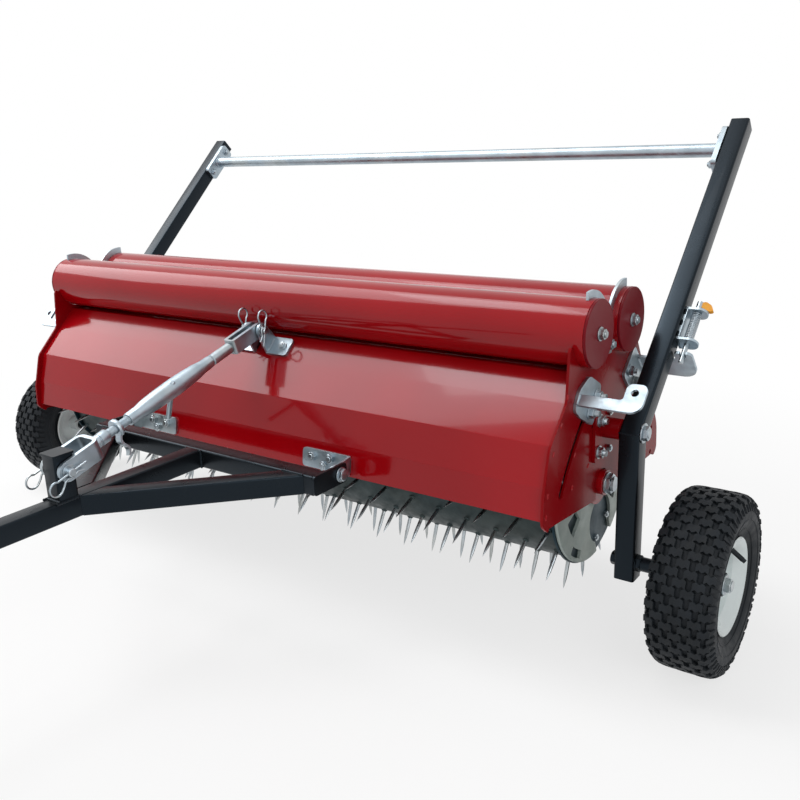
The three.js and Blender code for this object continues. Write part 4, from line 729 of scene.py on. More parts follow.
def make_drum():
    near, far = DRUM_R - DRUM_WALL, DRUM_R - 0.6
    wall = [(-DRUM_HALF, near), (DRUM_HALF, near), (DRUM_HALF, far), (-DRUM_HALF, far)]
    shell = Solid().revolve("x", *DRUM, wall, 144)
    piece("drum_cylinder", shell, SPIKES, "drum", ["drum_shell"], edge=0.4)

    spikes, roots = Solid(), Solid()
    step = 2 * (DRUM_HALF - SPIKE_EDGE) / (SPIKE_RINGS - 1)
    for ring in range(SPIKE_RINGS):
        for k in range(SPIKES_PER_RING):
            turn = (k + ring / RINGS_PER_PITCH) * 2 * math.pi / SPIKES_PER_RING
            x = SPIKE_EDGE - DRUM_HALF + ring * step
            matrix = Matrix.Translation((x, *DRUM)) @ Matrix.Rotation(turn, 4, "X")
            for solid, levels, sides, flat in ((spikes, SPIKE_LEVELS, 8, 0.8), (roots, ROOT_LEVELS, 10, 1)):
                sections = []
                for h, w in levels:
                    sections.append([(a, b * flat, DRUM_R + h) for a, b in circle(0, 0, w, sides)])
                solid.turned(matrix).rings(sections)
    piece("drum_spikes", spikes, STEEL_TIP, "drum", edge=0, smooth=50)
    piece("spike_welds", roots, SPIKES, "drum", edge=0, smooth=60)

    face = DRUM_HALF + FIT
    front = face + DRUM_PLATE
    disc = Solid().slab("x", circle(*DRUM, DRUM_RIM, 96), face, front, [circle(*DRUM, 15.5, 32)])
    # The disc plate's blue cast is a painted sky reflection
    both_sides("drum_disc_plate", disc, DARK, "drum", ["drum_disc_{side}"], edge=0.6)
    both_sides("drum_end_plate", spider(front + FIT), GALV, "drum", ["drum_end_{side}"], edge=0.7)
    middles = [LOBE + lobe * 360 / LOBES for lobe in range(LOBES)]
    places = [polar(*DRUM, r, rad(middle + at)) for middle in middles for at, r in LOBE_BOLTS]
    bolt_set("drum_disc_bolts", places, front, DISC_BOLT, 2, "drum", edge=0.2)

    end = HOOD_HALF + 10 + FIT
    shaft = Solid().rod("x", *DRUM, SHAFT_R, DRUM_HALF, end + 17, 48, 1.2)
    shaft.rod("x", *DRUM, 21, end, end + 4, 48, 0.6)
    shaft.hexagon("x", *DRUM, 20, end + 4, end + 13, 0.3)
    both_sides("drum_shaft_end", shaft, NUTS, "drum", edge=0.3)
    middle = Solid().rod("x", *DRUM, SHAFT_R, -DRUM_HALF + 10, DRUM_HALF - 10, 24)
    piece("drum_shaft_middle", middle, NUTS, "drum", ["drum_shaft"], edge=0)

    flange, collar, out = 46, 25, HOOD_HALF + 10
    ring = [(INSIDE - 6, SHAFT_BORE), (INSIDE - 6, flange), (INSIDE, flange), (INSIDE, collar)]
    bearing = Solid().revolve("x", *DRUM, [*ring, (out, collar), (out, SHAFT_BORE)], 64)
    both_sides("bearing_ring", bearing, RED, "chassis", ["drum_bearing_{side}"], edge=0.6)


def spider(front):
    """The open three-lobed end plate: round bites between the lobes, two windows in each lobe."""
    thick, far, mouth, bite_at, bite = 6.0, 163.0, 12.5, 100.0, 50.0
    outline, holes = [], [circle(*DRUM, SHAFT_BORE, 32)]
    throat = math.degrees(math.asin(far * math.sin(rad(mouth)) / bite))
    for lobe in range(LOBES):
        middle = LOBE + lobe * 360 / LOBES
        low, high = middle - 180 / LOBES, middle + 180 / LOBES
        outline += arc(*DRUM, far, low + mouth, high - mouth, 36)
        centre = polar(*DRUM, bite_at, rad(high))
        outline += arc(*centre, bite, high - throat, high + throat - 360, 32)
        for near, reach, half, at in LOBE_WINDOWS:
            start, end = middle + at - half, middle + at + half
            opening = [*arc(*DRUM, reach, start, end, 6), *arc(*DRUM, near, end, start, 6)]
            holes.append(rounded(opening, (reach - near) / 2.6))
    return Solid().slab("x", rounded(outline, 5), front, front + thick, holes)


# ---------------------------------------------------------------- lift frame

LEAN = rad(46.4)
BOX, BOX_HALF, BOX_CORNER, BOX_WALL, BOX_DEPTH = 40.0, 20.0, 4.5, 3.0, 60.0
ARM_OUTER, ARM_TOP, ARM_FOOT = 831.0, 790.0, -298.0
ARM_INNER, ARM_FACE = ARM_OUTER - BOX - FIT, ARM_OUTER + FIT
ARM_SHIFT = 8.6 * math.sin(LEAN)
LEANING = Matrix.Rotation(-LEAN, 4, "X")
AXLE = (-4.0, -262.0)
WHEEL_X, HUB_HALF = 962.0, 34.0
CROSS_ALONG, CROSS_R = 716.0, 15.0


def along(off, t):
    """The point at t along the leaning part of the arm, off its line."""
    return (off * math.cos(LEAN) + t * math.sin(LEAN), t * math.cos(LEAN) - off * math.sin(LEAN))


def box_rings(stations, radius, inset=0.0, steps=4):
    """Rings of a rounded box section: each station gives its centre and its two half vectors."""
    rings = []
    for centre, u, v in stations:
        ring = []
        for su, sv, first in ((1, 1, 0), (-1, 1, 90), (-1, -1, 180), (1, -1, 270)):
            for t in (rad(first + 90 * k / steps) for k in range(steps + 1)):
                pu = su * (u.length - inset - radius) + radius * math.cos(t)
                pv = sv * (v.length - inset - radius) + radius * math.sin(t)
                ring.append(centre + u.normalized() * pu + v.normalized() * pv)
        rings.append(ring)
    return rings


def box_tube(solid, stations, open_start=False):
    """A box tube with rounded corners; an open start shows its wall and inside."""
    rings = box_rings(stations, BOX_CORNER)
    if open_start:
        inner = box_rings(stations[:1], BOX_CORNER - BOX_WALL, BOX_WALL)[0]
        way = (stations[1][0] - stations[0][0]).normalized() * BOX_DEPTH
        rings = [[p + way for p in inner], inner, *rings]
    return solid.rings(rings)


def make_arms():
    x = ARM_OUTER - BOX_HALF
    across = Vector((BOX_HALF, 0, 0))

    def bend(off):
        """Where the upright and the leaning part of the arm meet, off their middle line."""
        return Vector((off, (off * math.cos(LEAN) - (off + ARM_SHIFT)) / math.sin(LEAN)))

    front, rear = bend(-BOX_HALF), bend(BOX_HALF)
    stations = [
        (Vector((x, 0, ARM_FOOT)), across, Vector((0, BOX_HALF, 0))),
        (Vector((x, *(rear + front) / 2)), across, Vector((0, *(rear - front) / 2))),
        (Vector((x, *along(ARM_SHIFT, ARM_TOP))), across, Vector((0, *along(BOX_HALF, 0)))),
    ]
    arm = box_tube(Solid(), stations, open_start=True)
    both_sides("lift_arm", arm, BLACK, "lift_frame", ["arm_{side}"], edge=0, smooth=30)
    corners = rect(-BOX_HALF, BOX_HALF, -BOX_HALF, BOX_HALF)
    loop = [(x + dx * 0.985, *bend(off)) for dx, off in (*corners, corners[0])]
    weld_set("arm_bend_weld", [loop], 1.4, BLACK, "lift_frame")


def make_cross_tube():
    centre = along(ARM_SHIFT, CROSS_ALONG)
    plate, wide, tall, bolt_at = 11.0, 22, 55, 42
    face = ARM_INNER - plate
    tube = Solid().rod("x", *centre, CROSS_R, -ARM_INNER + 3, ARM_INNER - 3, 64, 0.5)
    piece("cross_rail", tube, ZINC, "lift_frame", ["cross_tube"], edge=0)
    outline = rect(ARM_SHIFT - wide, ARM_SHIFT + wide, CROSS_ALONG - tall, CROSS_ALONG + tall)
    flange = Solid(LEANING).slab("x", rounded(outline, 11), face, ARM_INNER)
    both_sides("cross_flange", flange, ZINC, "lift_frame", edge=0.7)
    places = [(ARM_SHIFT, CROSS_ALONG + d) for d in (-bolt_at, bolt_at)]
    bolt_set("cross_flange_bolts", places, face, M10, 3, "lift_frame", Solid(LEANING), way=-1)
    ring = [(face - 1, a, b) for a, b in arc(*centre, CROSS_R, 0, 360, 24)]
    weld_set("cross_flange_weld", [ring], 2.2, ZINC, "lift_frame")


def make_pivots():
    boss = ARM_INNER
    bracket = Solid().slab("x", rounded(rect(-44, 30, -62, 38), 10), OUTSIDE, OUTSIDE + 6)
    ring = [(OUTSIDE + 5, 10.4), (OUTSIDE + 5, 20), (boss, 20), (boss, 10.4)]
    bracket.revolve("x", 0, 0, ring, 48)
    # The pivot plates take the darker red of painted shade
    both_sides("pivot_plate", bracket, RED_PLATE_SHADED, "chassis", ["pivot_bracket_{side}"], edge=0.7)
    bolts = Solid()
    for y, z in ((-26, 20), (-28, -42)):
        bolts.bolt("x", y, z, OUTSIDE + 6, 1, M12, 6)
    places = ((17, -47), (16, 27))
    bolt_set("pivot_plate_bolts", places, OUTSIDE + 6, PLAIN, 2, "chassis", bolts)
    pin = Solid().rod("x", 0, 0, 10, HOOD_HALF - 5, ARM_FACE + 3)
    pin.rod("x", 0, 0, 19, ARM_FACE, ARM_FACE + 3, 48, 0.6)
    pin.hexagon("x", 0, 0, 14.5, ARM_FACE + 3, ARM_FACE + 11, 0.35)
    pin.hexagon("x", 0, 0, 9, ARM_FACE + 9, ARM_FACE + 12, 0.1)
    both_sides("pivot_bolt", pin, NUTS, "lift_frame", ["pivot_pin_{side}"], edge=0.4)


def make_axles():
    hub_out = WHEEL_X + HUB_HALF + FIT
    axle = Solid().rod("x", *AXLE, 10, ARM_INNER - 6, hub_out + 15)
    axle.rod("x", *AXLE, 19.5, hub_out, hub_out + 3, 48, 0.5)
    axle.hexagon("x", *AXLE, 14.5, hub_out + 3, hub_out + 12.5, 0.5)
    both_sides("stub_axle", axle, NUTS, "lift_frame", ["axle_{side}"], edge=0.4)
    spacer = Solid()
    spacer.hexagon("x", *AXLE, 14, ARM_INNER, ARM_INNER - 9, 0.2)
    spacer.rod("x", *AXLE, 17, ARM_FACE, ARM_FACE + 2.5, 48, 0.5)
    spacer.hexagon("x", *AXLE, 16.5, ARM_FACE + 2.5, ARM_FACE + 10.5, 0.1)
    spacer.rod("x", *AXLE, 14, ARM_FACE + 10, WHEEL_X - HUB_HALF - FIT, 48)
    both_sides("axle_spacer", spacer, BLACK, "lift_frame", edge=0.4)
    near, far = WHEEL_X + 30, WHEEL_X + HUB_HALF + 0.1
    seal = [(near, 12), (far, 12), (far, 22), (near, 22)]
    both_sides("hub_seal", Solid().revolve("x", *AXLE, seal, 48), RUBBER, "wheel_{side}", edge=0.5)


# ---------------------------------------------------------------- wheels

TYRE_R, TYRE_HALF, RIM_R, RIM_HALF = 170.0, 61.4, 92.0, 50.0
TREAD_DEPTH, TREAD_PITCHES, TREAD_COLUMNS, TREAD_SPAN = 6.0, 32, 3, 16.5
# Half of the tyre's section: distance from its middle and radius
TYRE_LINE = [
    *((38.0, 80.2), (44.0, 88.0), (45.0, 94.0), (48.0, 100.0), (53.0, 108.0), (58.0, 120.0)),
    *((60.0, 134.0), (58.0, 146.0), (53.0, 155.0), (46.0, 160.5), (34.0, 163.2)),
    *((20.0, 164.4), (8.0, 164.9)),
]
TYRE_INSIDE = [(-44, 105), (-50, 130), (0, 156), (50, 130), (44, 105)]
TYRE_BEADS = ((60.2, 126.0), (54.3, 108.0))
RIM_SLOPE, RIM_SKIN, HUB_R, HUB_BORE = 70.0, 3.5, 21.0, 10.4
RIM_LINE = [
    (-RIM_HALF, RIM_R - RIM_SKIN),
    (-RIM_HALF, RIM_R),
    *((-44, 85.6), (-30, RIM_SLOPE), (30, RIM_SLOPE), (44, 85.6)),
    (RIM_HALF - 1.5, RIM_R),
    (RIM_HALF, RIM_R - 1.6),
    (RIM_HALF - 1, RIM_R - RIM_SKIN - 1),
    *((42, 80.5), (34, 71.5), (29, RIM_SLOPE - RIM_SKIN), (18, RIM_SLOPE - RIM_SKIN - 1)),
    *((12, 60.0), (7, 45.0), (5, 30.0), (6, 24.0), (10, HUB_R), (33, 20.0), (HUB_HALF, 18.5)),
    *((HUB_HALF, HUB_BORE), (-HUB_HALF, HUB_BORE), (-HUB_HALF, HUB_R), (0, HUB_R)),
    *((0, 34.0), (8, RIM_SLOPE - RIM_SKIN), (-30, RIM_SLOPE - RIM_SKIN)),
]
VALVE_FOOT, VALVE_TIP = Vector((WHEEL_X + 28, 43, -211)), Vector((WHEEL_X + 56, 43, -231))
# A lug's outline: the way round the section and its share of the lug's half length
LUG = ((54, -1), (54, 1), (66, 0.8), (76, 0.55), (76, -0.55), (66, -0.8))


def at_wheel(profile):
    return [(WHEEL_X + w, r) for w, r in profile]


def tread_point(s, angle, lift):
    """A point over the tread: s is the way round the section from the middle, lift the height."""
    flat, shoulder = 38.0, 30.0
    side = 1 if s >= 0 else -1
    run = abs(s)
    if run <= flat:
        w, r, out = run, 165.0 - 1.8 * (run / flat) ** 2, (0.0, 1.0)
    else:
        turn = (run - flat) / shoulder
        w = flat + shoulder * math.sin(min(turn, 1.3)) * 0.76
        r = 163.2 - shoulder * (1 - math.cos(min(turn, 1.3))) * 1.05
        out = (math.sin(min(turn, 1.2)), math.cos(min(turn, 1.2)))
    w, r = min(w + out[0] * lift, TYRE_HALF), min(r + out[1] * lift, TYRE_R)
    return Vector((WHEEL_X + side * w, *polar(*AXLE, r, angle)))


def make_tyre():
    mirrored = [(-w, r) for w, r in reversed(TYRE_LINE)]
    carcass = Solid().revolve("x", *AXLE, at_wheel([*TYRE_LINE, *mirrored, *TYRE_INSIDE]), 120)
    for w, r in TYRE_BEADS:
        for side in (-1, 1):
            x = side * (w - 1.2)
            bead = [(x, r - 1.2), (x + side * 1.1, r), (x, r + 1.2)]
            carcass.revolve("x", *AXLE, at_wheel(bead), 96)
    both_sides("tyre_carcass", carcass, RUBBER, "wheel_{side}", ["tyre_{side}"], edge=0, smooth=50)

    blocks = Solid()
    pitch = 2 * math.pi / TREAD_PITCHES
    for column in range(-TREAD_COLUMNS, TREAD_COLUMNS + 1):
        for k in range(TREAD_PITCHES):
            add_block(blocks, column * TREAD_SPAN, (k + 0.5 * (column % 2)) * pitch, pitch)
    for side in (-1, 1):
        for k in range(TREAD_PITCHES * 2):
            add_lug(blocks, side, k * pitch / 2, pitch / 2)
    both_sides("tyre_tread", blocks, RUBBER, "wheel_{side}", edge=0.7, smooth=40)


def add_block(solid, middle, angle, pitch):
    """A wavy brick of the turf tread, that overlaps its neighbours sideways."""
    w, long, wave = 11.6, pitch * 0.215, pitch * 0.06
    shares = (-1, -0.5, 0, 0.5, 1)
    outline = []
    for end, order in ((-long, shares), (long, reversed(shares))):
        outline += [(w * t, end + wave * math.cos(math.pi * 2 * t)) for t in order]
    rings = []
    for lift, grow in ((-1.5, 1.04), (TREAD_DEPTH - 1.0, 0.99), (TREAD_DEPTH, 0.93)):
        rings.append([tread_point(middle + s * grow, angle + a * grow, lift) for s, a in outline])
    solid.rings(rings)


def add_lug(solid, side, angle, pitch):
    """A narrow rib of the shoulder, running down the side, where it stands out less."""
    long, shoulder, lower = pitch * 0.31, 60, 0.55
    rings = []
    for lift, grow in ((-2.0, 1.1), (TREAD_DEPTH - 1.6, 0.9)):
        ring = []
        for s, share in LUG:
            height = lift if s < shoulder else lift * lower
            ring.append(tread_point(side * s, angle + long * share * grow, height))
        rings.append(ring)
    solid.rings(rings)


def make_rim():
    rim = Solid().revolve("x", *AXLE, at_wheel(RIM_LINE), 96)
    both_sides("wheel_rim", rim, RIM, "wheel_{side}", ["rim_{side}"], edge=0, smooth=35)
    # The valve's rubber foot tapers to its stem, and the last steps are its cap
    line = resample([VALVE_FOOT - (VALVE_TIP - VALVE_FOOT) * 0.12, VALVE_TIP], 2)
    sizes = [7.5 - 2.7 * min(1, i / 5) for i in range(len(line) - 3)] + [4.1] * 3
    valve = Solid().sweep(line, sizes, 20)
    both_sides("tyre_valve", valve, RUBBER, "wheel_{side}", edge=0)


# ---------------------------------------------------------------- latch and stops

LATCH_X, LATCH_OFF = 850.0, 14.0
LATCH_AT = (LATCH_X, LATCH_OFF)
LATCH_LOW, LATCH_HIGH, LATCH_HALF, LATCH_PLATE = 212.0, 289.0, 17.0, 5.0
LATCH_SEAT = LATCH_LOW + LATCH_PLATE + FIT
COIL_TURNS, COIL_STEPS, COIL_WIRE, COIL_R = 15, 16, 0.95, 8.6
COIL_START, COIL_END = LATCH_SEAT + 4 + FIT + COIL_WIRE, LATCH_HIGH - LATCH_PLATE - FIT - COIL_WIRE
TAB = [(300, 854), (311, 855), (313, 862), (305, 874), (293, 880), (290, 874), (294, 864)]
CATCH_PLATE, CATCH_SLOT, CATCH_START, CATCH_END = 6.0, 6.0, 184.0, 190.0
# The catch plate, with the latch's slot open to the front
CATCH = [
    (OUTSIDE, 34),
    (824, 34),
    *arc(824, 25, 9, 90, 0, 6)[1:],
    (833, 12),
    *arc(839, 12, 6, 180, 270, 5)[1:],
    (LATCH_X - CATCH_SLOT, 6),
    *arc(*LATCH_AT, CATCH_SLOT, 180, 0, 12),
    (LATCH_X + CATCH_SLOT, 6),
    *arc(858, 16, 10, 270, 360, 6),
    *arc(838, 58, 30, 0, 90, 12),
    (OUTSIDE, 88),
]
STOP_PLATE, STOP_OUT = 6.0, 142.0
STOP_LEAN = Matrix.Rotation(rad(45), 4, "X")
STOP = [
    (OUTSIDE, -37.5),
    *arc(849, -15.5, 22, 270, 360, 12),
    *arc(859, 7, 12, 0, 90, 8),
    *arc(846, 7, 12, 90, 180, 8),
    *arc(828, -9.5, 6, 360, 270, 5),
    (OUTSIDE, -15.5),
]
STOP_FLANGE = [
    *((-20.4, 87.6), (-74.4, 117.6), (-117.6, 100.8)),
    *((-135.6, 67.2), (-111.6, 48.0), (-57.6, 18.0)),
]
STOP_BOLTS = (128.4, 132.4)  # degrees round the slot's centre


def make_latches():
    low, high = LATCH_LOW, LATCH_HIGH
    front, rear = LATCH_OFF - LATCH_HALF, LATCH_OFF + LATCH_HALF
    bracket = Solid(LEANING)
    bracket.slab("x", rect(front, rear, low, high), ARM_FACE, ARM_FACE + LATCH_PLATE)
    round_end = arc(LATCH_X + 5, LATCH_OFF, LATCH_HALF, -90, 90, 16)
    nose = [(ARM_FACE, front), *round_end, (ARM_FACE, rear)]
    for start in (low, high - LATCH_PLATE):
        bracket.slab("z", nose, start, start + LATCH_PLATE, [circle(*LATCH_AT, 5.4, 24)])
    both_sides("latch_channel", bracket, ZINC, "lift_frame", ["latch_bracket_{side}"], edge=1.2)
    seams = []
    for off in (front - 0.5, rear + 0.5):
        for t in (low + 6, (low + high) / 2 - 6, high - 18):
            seams.append([(ARM_FACE + 1.5, off, t), (ARM_FACE + 1.5, off, t + 12)])
    weld_set("latch_welds", seams, 2.0, BLACK, "lift_frame", LEANING)
    pin = Solid(LEANING)
    pin.rod("z", *LATCH_AT, 5, 168, high + 2, 32, 1.2)
    pin.rod("z", *LATCH_AT, 6.5, high + FIT, 313, 32, 1.2)
    pin.rod("z", *LATCH_AT, 13, LATCH_SEAT, LATCH_SEAT + 1.6, 40, 0.3)
    pin.rod("z", *LATCH_AT, 9, LATCH_SEAT + 1.6, LATCH_SEAT + 4, 32, 0.4)
    both_sides("latch_bolt", pin, NUTS, "latch_{side}", ["latch_pin_{side}"], edge=0)
    make_coils()
    tab = Solid(LEANING).slab("y", rounded(TAB, 3), LATCH_OFF - 4, LATCH_OFF + 4)
    both_sides("latch_grip", tab, AMBER, "latch_{side}", ["latch_tab_{side}"], edge=1.0)


def make_coils():
    """The latch springs, each given a mesh of its own."""
    long, steps = COIL_END - COIL_START, COIL_TURNS * COIL_STEPS
    path = []
    for i in range(steps + 1):
        t = 2 * math.pi * i / COIL_STEPS
        path.append(Vector((*polar(*LATCH_AT, COIL_R, t), COIL_START + long * i / steps)))
    coil = Solid(LEANING).wire(path, COIL_WIRE, 8)
    nodes = ["latch_spring_{side}"]
    coils = both_sides("latch_coil", coil, NUTS, "lift_frame", nodes, edge=0, smooth=60)
    for (side, mirror), spring in zip(SIDES, coils):
        pull = joint(f"latch_{side}_pull")
        keep = 1 - max(pull["range_m"]) / MM / long
        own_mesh(spring)


def make_catches():
    face = OUTSIDE + CATCH_PLATE
    catch = Solid(LEANING).slab("z", CATCH, CATCH_START, CATCH_END)
    catch.slab("x", rounded(rect(2, 74, 118, 190), 10), OUTSIDE, face)
    both_sides("catch_bracket", catch, ZINC, "chassis", ["catch_plate_{side}"], edge=0.8)
    bolt_set("catch_bolts", ((20, 142), (58, 142)), face, M12, 6, "chassis", Solid(LEANING))
    seam = [(face, off, CATCH_START) for off in (36, 72)]
    weld_set("catch_weld", [seam], 2.6, ZINC, "chassis", LEANING)


def make_stops():
    face, end = OUTSIDE + STOP_PLATE, STOP_OUT + STOP_PLATE
    stop = Solid(STOP_LEAN).slab("z", STOP, STOP_OUT, end, [circle(851, 1, 7, 32)])
    stop.turned(UPRIGHT).slab("x", rounded(STOP_FLANGE, 12), OUTSIDE, face)
    both_sides("stop_plate", stop, ZINC, "stop_{side}", ["depth_stop_{side}"], edge=0.8)
    places = [polar(*SLOT, SLOT_R, rad(deg)) for deg in STOP_BOLTS]
    bolt_set("stop_bolts", places, face, M12, 9, "stop_{side}")
    seams = [[(face, off, t) for off in (-36, -17)] for t in (STOP_OUT, end)]
    weld_set("stop_weld", seams, 2.6, ZINC, "stop_{side}", STOP_LEAN)


# ---------------------------------------------------------------- drawbar

BAR_TOP, BAR_FRONT = -67.0, -1350.0
BAR_LOW, BAR_Z = BAR_TOP - BOX, BAR_TOP - BOX_HALF
CROSS_Y, CROSS_HALF, CHEEK = -356.0, 325.0, 6.0
BRACE_FRONT = -645.0
POST_REAR, POST_TOP, POST_CAP = -645.0, 19.0, 21.5
TONGUE, TONGUE_HALF, TONGUE_LONG = 8.0, 30.0, 60.0
HITCH = (0, BAR_FRONT - 30)
HINGE = (-277, -87)
HINGE_FLAT, HINGE_START, HINGE_END, HINGE_LOW, HINGE_TALL = 9.0, 197.0, 321.0, -6.0, 34.0
HINGE_PLATE = 5.0


def straight_tube(solid, a, b, up=Vector((0, 0, 1)), open_start=False):
    """A box tube between two points, with one of its sides facing up."""
    side = (b - a).normalized().cross(up).normalized()
    halves = (side * BOX_HALF, up * BOX_HALF)
    return box_tube(solid, [(a, *halves), (b, *halves)], open_start)


def make_drawbar():
    beam = Solid()
    start, end = Vector((0, BAR_FRONT, BAR_Z)), Vector((0, CROSS_Y - FIT, BAR_Z))
    straight_tube(beam, start, end, open_start=True)
    nose, root = BAR_FRONT - TONGUE_LONG, BAR_FRONT + TONGUE_LONG
    tongue = [
        (TONGUE_HALF, root),
        (-TONGUE_HALF, root),
        (-TONGUE_HALF, nose + 24),
        *arc(0, nose + 30, TONGUE_HALF, 190, 350, 20),
        (TONGUE_HALF, nose + 24),
    ]
    for face in (BAR_TOP, BAR_LOW - TONGUE):
        beam.slab("z", tongue, face, face + TONGUE, [circle(*HITCH, 9.3, 32)])
    piece("drawbar_tube", beam, BLACK, "drawbar", ["drawbar_beam"], smooth=30)

    cross = Solid()
    left, right = (Vector((x, CROSS_Y + BOX_HALF, BAR_Z)) for x in (-CROSS_HALF, CROSS_HALF))
    straight_tube(cross, left, right)
    cheek = rounded(rect(CROSS_Y, -258, BAR_LOW, BAR_TOP), 9)
    for x, way in ((-CROSS_HALF, -1), (CROSS_HALF, 1)):
        cross.slab("x", cheek, x, x + way * CHEEK, [circle(*HINGE, 8.3, 32)])
    piece("drawbar_cross", cross, BLACK, "drawbar", ["drawbar_crossbar"], smooth=30)
    make_braces()

    beads = Solid()
    top, side, rear = BAR_TOP + 0.2, BOX_HALF + 1, CROSS_Y - 1
    beads.weld([(side, y, top) for y in (BRACE_FRONT - 48, BRACE_FRONT + 4)], 2.6)
    beads.weld([(x, rear, top) for x in (CROSS_HALF - 74, CROSS_HALF - 20)], 2.6)
    beads.weld([(side, rear, z) for z in (BAR_LOW, BAR_TOP)], 2.8)
    beads.weld([(BOX_HALF + 0.5, BAR_FRONT + y, BAR_LOW - 4) for y in (4, 58)], 2.4)
    both_sides("drawbar_welds", beads, BLACK, "drawbar", edge=0)

    post = Solid()
    middle = POST_REAR - BOX_HALF
    foot, head = Vector((0, middle, BAR_TOP + FIT)), Vector((0, middle, POST_TOP))
    straight_tube(post, foot, head, up=Vector((0, 1, 0)))
    cap = rect(-POST_CAP, POST_CAP, middle - POST_CAP, middle + POST_CAP)
    post.slab("z", rounded(cap, 4), POST_TOP - 1.5, POST_TOP + 2.5)
    piece("link_post", post, BLACK, "drawbar", ["drawbar_post"], edge=0.8, smooth=30)
    corners = rect(-BOX_HALF, BOX_HALF, POST_REAR - BOX, POST_REAR)
    loop = [(x, y, BAR_TOP + 1) for x, y in (*corners, corners[0])]
    weld_set("link_post_weld", [loop], 2.6, BLACK, "drawbar", make=piece)

    head, ring = BAR_TOP + TONGUE + FIT, 24
    pin = Solid()
    pin.rod("z", *HITCH, 9, BAR_LOW - 6, head + 6, 40, 1.5)
    pin.rod("z", *HITCH, 15, head, head + 6, 40, 1.0)
    handle = [Vector((a, HITCH[1], b)) for a, b in arc(0, head + 31, ring, -80, 260, 28)]
    pin.wire(handle, 3.2, 14)
    piece("hitch_drop_pin", pin, NUTS, "hitch", ["hitch_pin"], edge=0)


def make_braces():
    """The diagonals, cut along the beam's side and along the crossbar's front."""
    start = Vector((BOX_HALF, BRACE_FRONT, BAR_Z))
    end = Vector((CROSS_HALF - BOX_HALF, CROSS_Y - FIT, BAR_Z))
    way = (end - start).normalized()
    across = Vector((-way.y, way.x, 0)) * BOX_HALF

    def station(point, plane, value):
        ends = []
        for edge in (point + across, point - across):
            ends.append(edge + way * ((value - getattr(edge, plane)) / getattr(way, plane)))
        left, right = ends
        return ((left + right) / 2, (left - right) / 2, Vector((0, 0, BOX_HALF)))

    at_beam = station(start + across, "x", BOX_HALF + FIT)
    at_cross = station(end + across, "y", CROSS_Y - FIT)
    brace = box_tube(Solid(), [at_beam, at_cross])
    nodes = ["drawbar_diagonal_{side}"]
    both_sides("drawbar_brace", brace, BLACK, "drawbar", nodes, edge=0, smooth=30)


def make_hinges():
    seat = on_flat(0, 0, HINGE_FLAT, 0)
    outline = rounded(rect(HINGE_START, HINGE_END, HINGE_LOW, HINGE_TALL), 9)
    plate = Solid(seat).slab("z", outline, FIT, FIT + HINGE_PLATE)
    apron = [seat @ Vector((0, up, FIT + 2)) for up in (HINGE_LOW, HINGE_TALL)]
    lug = [*((p.y, p.z) for p in apron), *arc(*HINGE, 17, 60, 240, 20)]
    plate.turned(UPRIGHT).slab("x", lug, HINGE_END - HINGE_PLATE, HINGE_END)
    both_sides("hinge_angle", plate, ZINC, "chassis", ["hinge_bracket_{side}"], edge=0.8)
    bolts = Solid(seat)
    for a, b in ((225, 18.5), (272, 21), (256, 4)):
        bolts.bolt("z", a, b, FIT + HINGE_PLATE, 1, HINGE_BOLT, 2)
    bolts.turned(UPRIGHT)
    face, head = CROSS_HALF + CHEEK + FIT, 307
    bolts.rod("x", *HINGE, 8, head, face + 3, 32)
    bolts.hexagon("x", *HINGE, 12.5, HINGE_END - HINGE_PLATE - FIT, head, 0.4)
    bolts.rod("x", *HINGE, 15, face, face + 2.5, 40, 0.5)
    bolts.hexagon("x", *HINGE, 12.5, face + 2.5, face + 10, 0.2)
    both_sides("hinge_bolts", bolts, NUTS, "chassis", edge=0.3)


# ---------------------------------------------------------------- top link

LINK_REAR, LINK_FRONT = Vector((-150, 146)), Vector((-665, -11))
LINK_RUN = LINK_REAR - LINK_FRONT
LINK_LONG = LINK_RUN.length
LINK_TILT = Matrix.Rotation(math.atan2(LINK_RUN.y, LINK_RUN.x), 4, "X")
LINK = Matrix.Translation((0, *LINK_REAR)) @ LINK_TILT
STUD_R, EYE_R, STRAP = 9.0, 8.3, 8.0
SLEEVE_START, SLEEVE_END, SLEEVE_TAPER = 144.0, 373.0, 26.0
# The collar between the front stud and its fork: distance from the fork and radius
COLLAR = [
    *((0, 9), (0, 12.6), (9, 12.6), (10, 11.6), (12, 11.6)),
    *((13, 13), (29, 13), (31, 12), (31, 9)),
]
LOCK_RING = [(-398, 9.5), (-398, 17), (-399, 18), (-406, 18), (-407, 17), (-407, 9.5)]
# The top link's pins: half their length, body, the clip's direction and its bow
LINK_PINS = (
    ("rear", LINK_REAR, 35, "chassis", (0.2, 0.98), 31),
    ("front", LINK_FRONT, 42, "drawbar", (-0.95, -0.31), 38),
)
CLIP_WAVES = [
    *((10, 7.2), (5, 9.2), (0, 10.2), (-6, 8.6), (-11, 6.4), (-18, 8.4), (-25, 12)),
]


def on_link(at, degrees):
    """A part turned round the top link's line, at a distance from its rear pin."""
    return LINK @ Matrix.Translation((0, -at, 0)) @ Matrix.Rotation(rad(degrees), 4, "Y")


def make_forks():
    rear = Solid(LINK)
    u_strap(rear, 15, 32, 0, -82, -1, EYE_R, 6)
    rear.rod("y", 0, 0, STUD_R, -189, -80)
    rear.rod("y", 0, 0, 12, -140, -84, 40, 2.0)
    piece("link_rear_clevis", rear, ZINC, "link_rear", ["link_rear_fork"], edge=0.9)
    front = Solid(LINK)
    closed = 80 - LINK_LONG
    u_strap(front, 30, 38, -LINK_LONG, closed, 1, 11, 16)
    front.thread("y", 0, 0, STUD_R, closed - 2, -328, 2.4, 32)
    front.revolve("y", 0, 0, [(closed + 1 + d, r) for d, r in COLLAR], 40)
    piece("link_front_clevis", front, ZINC, "link_front", ["link_front_fork"], edge=0.9)


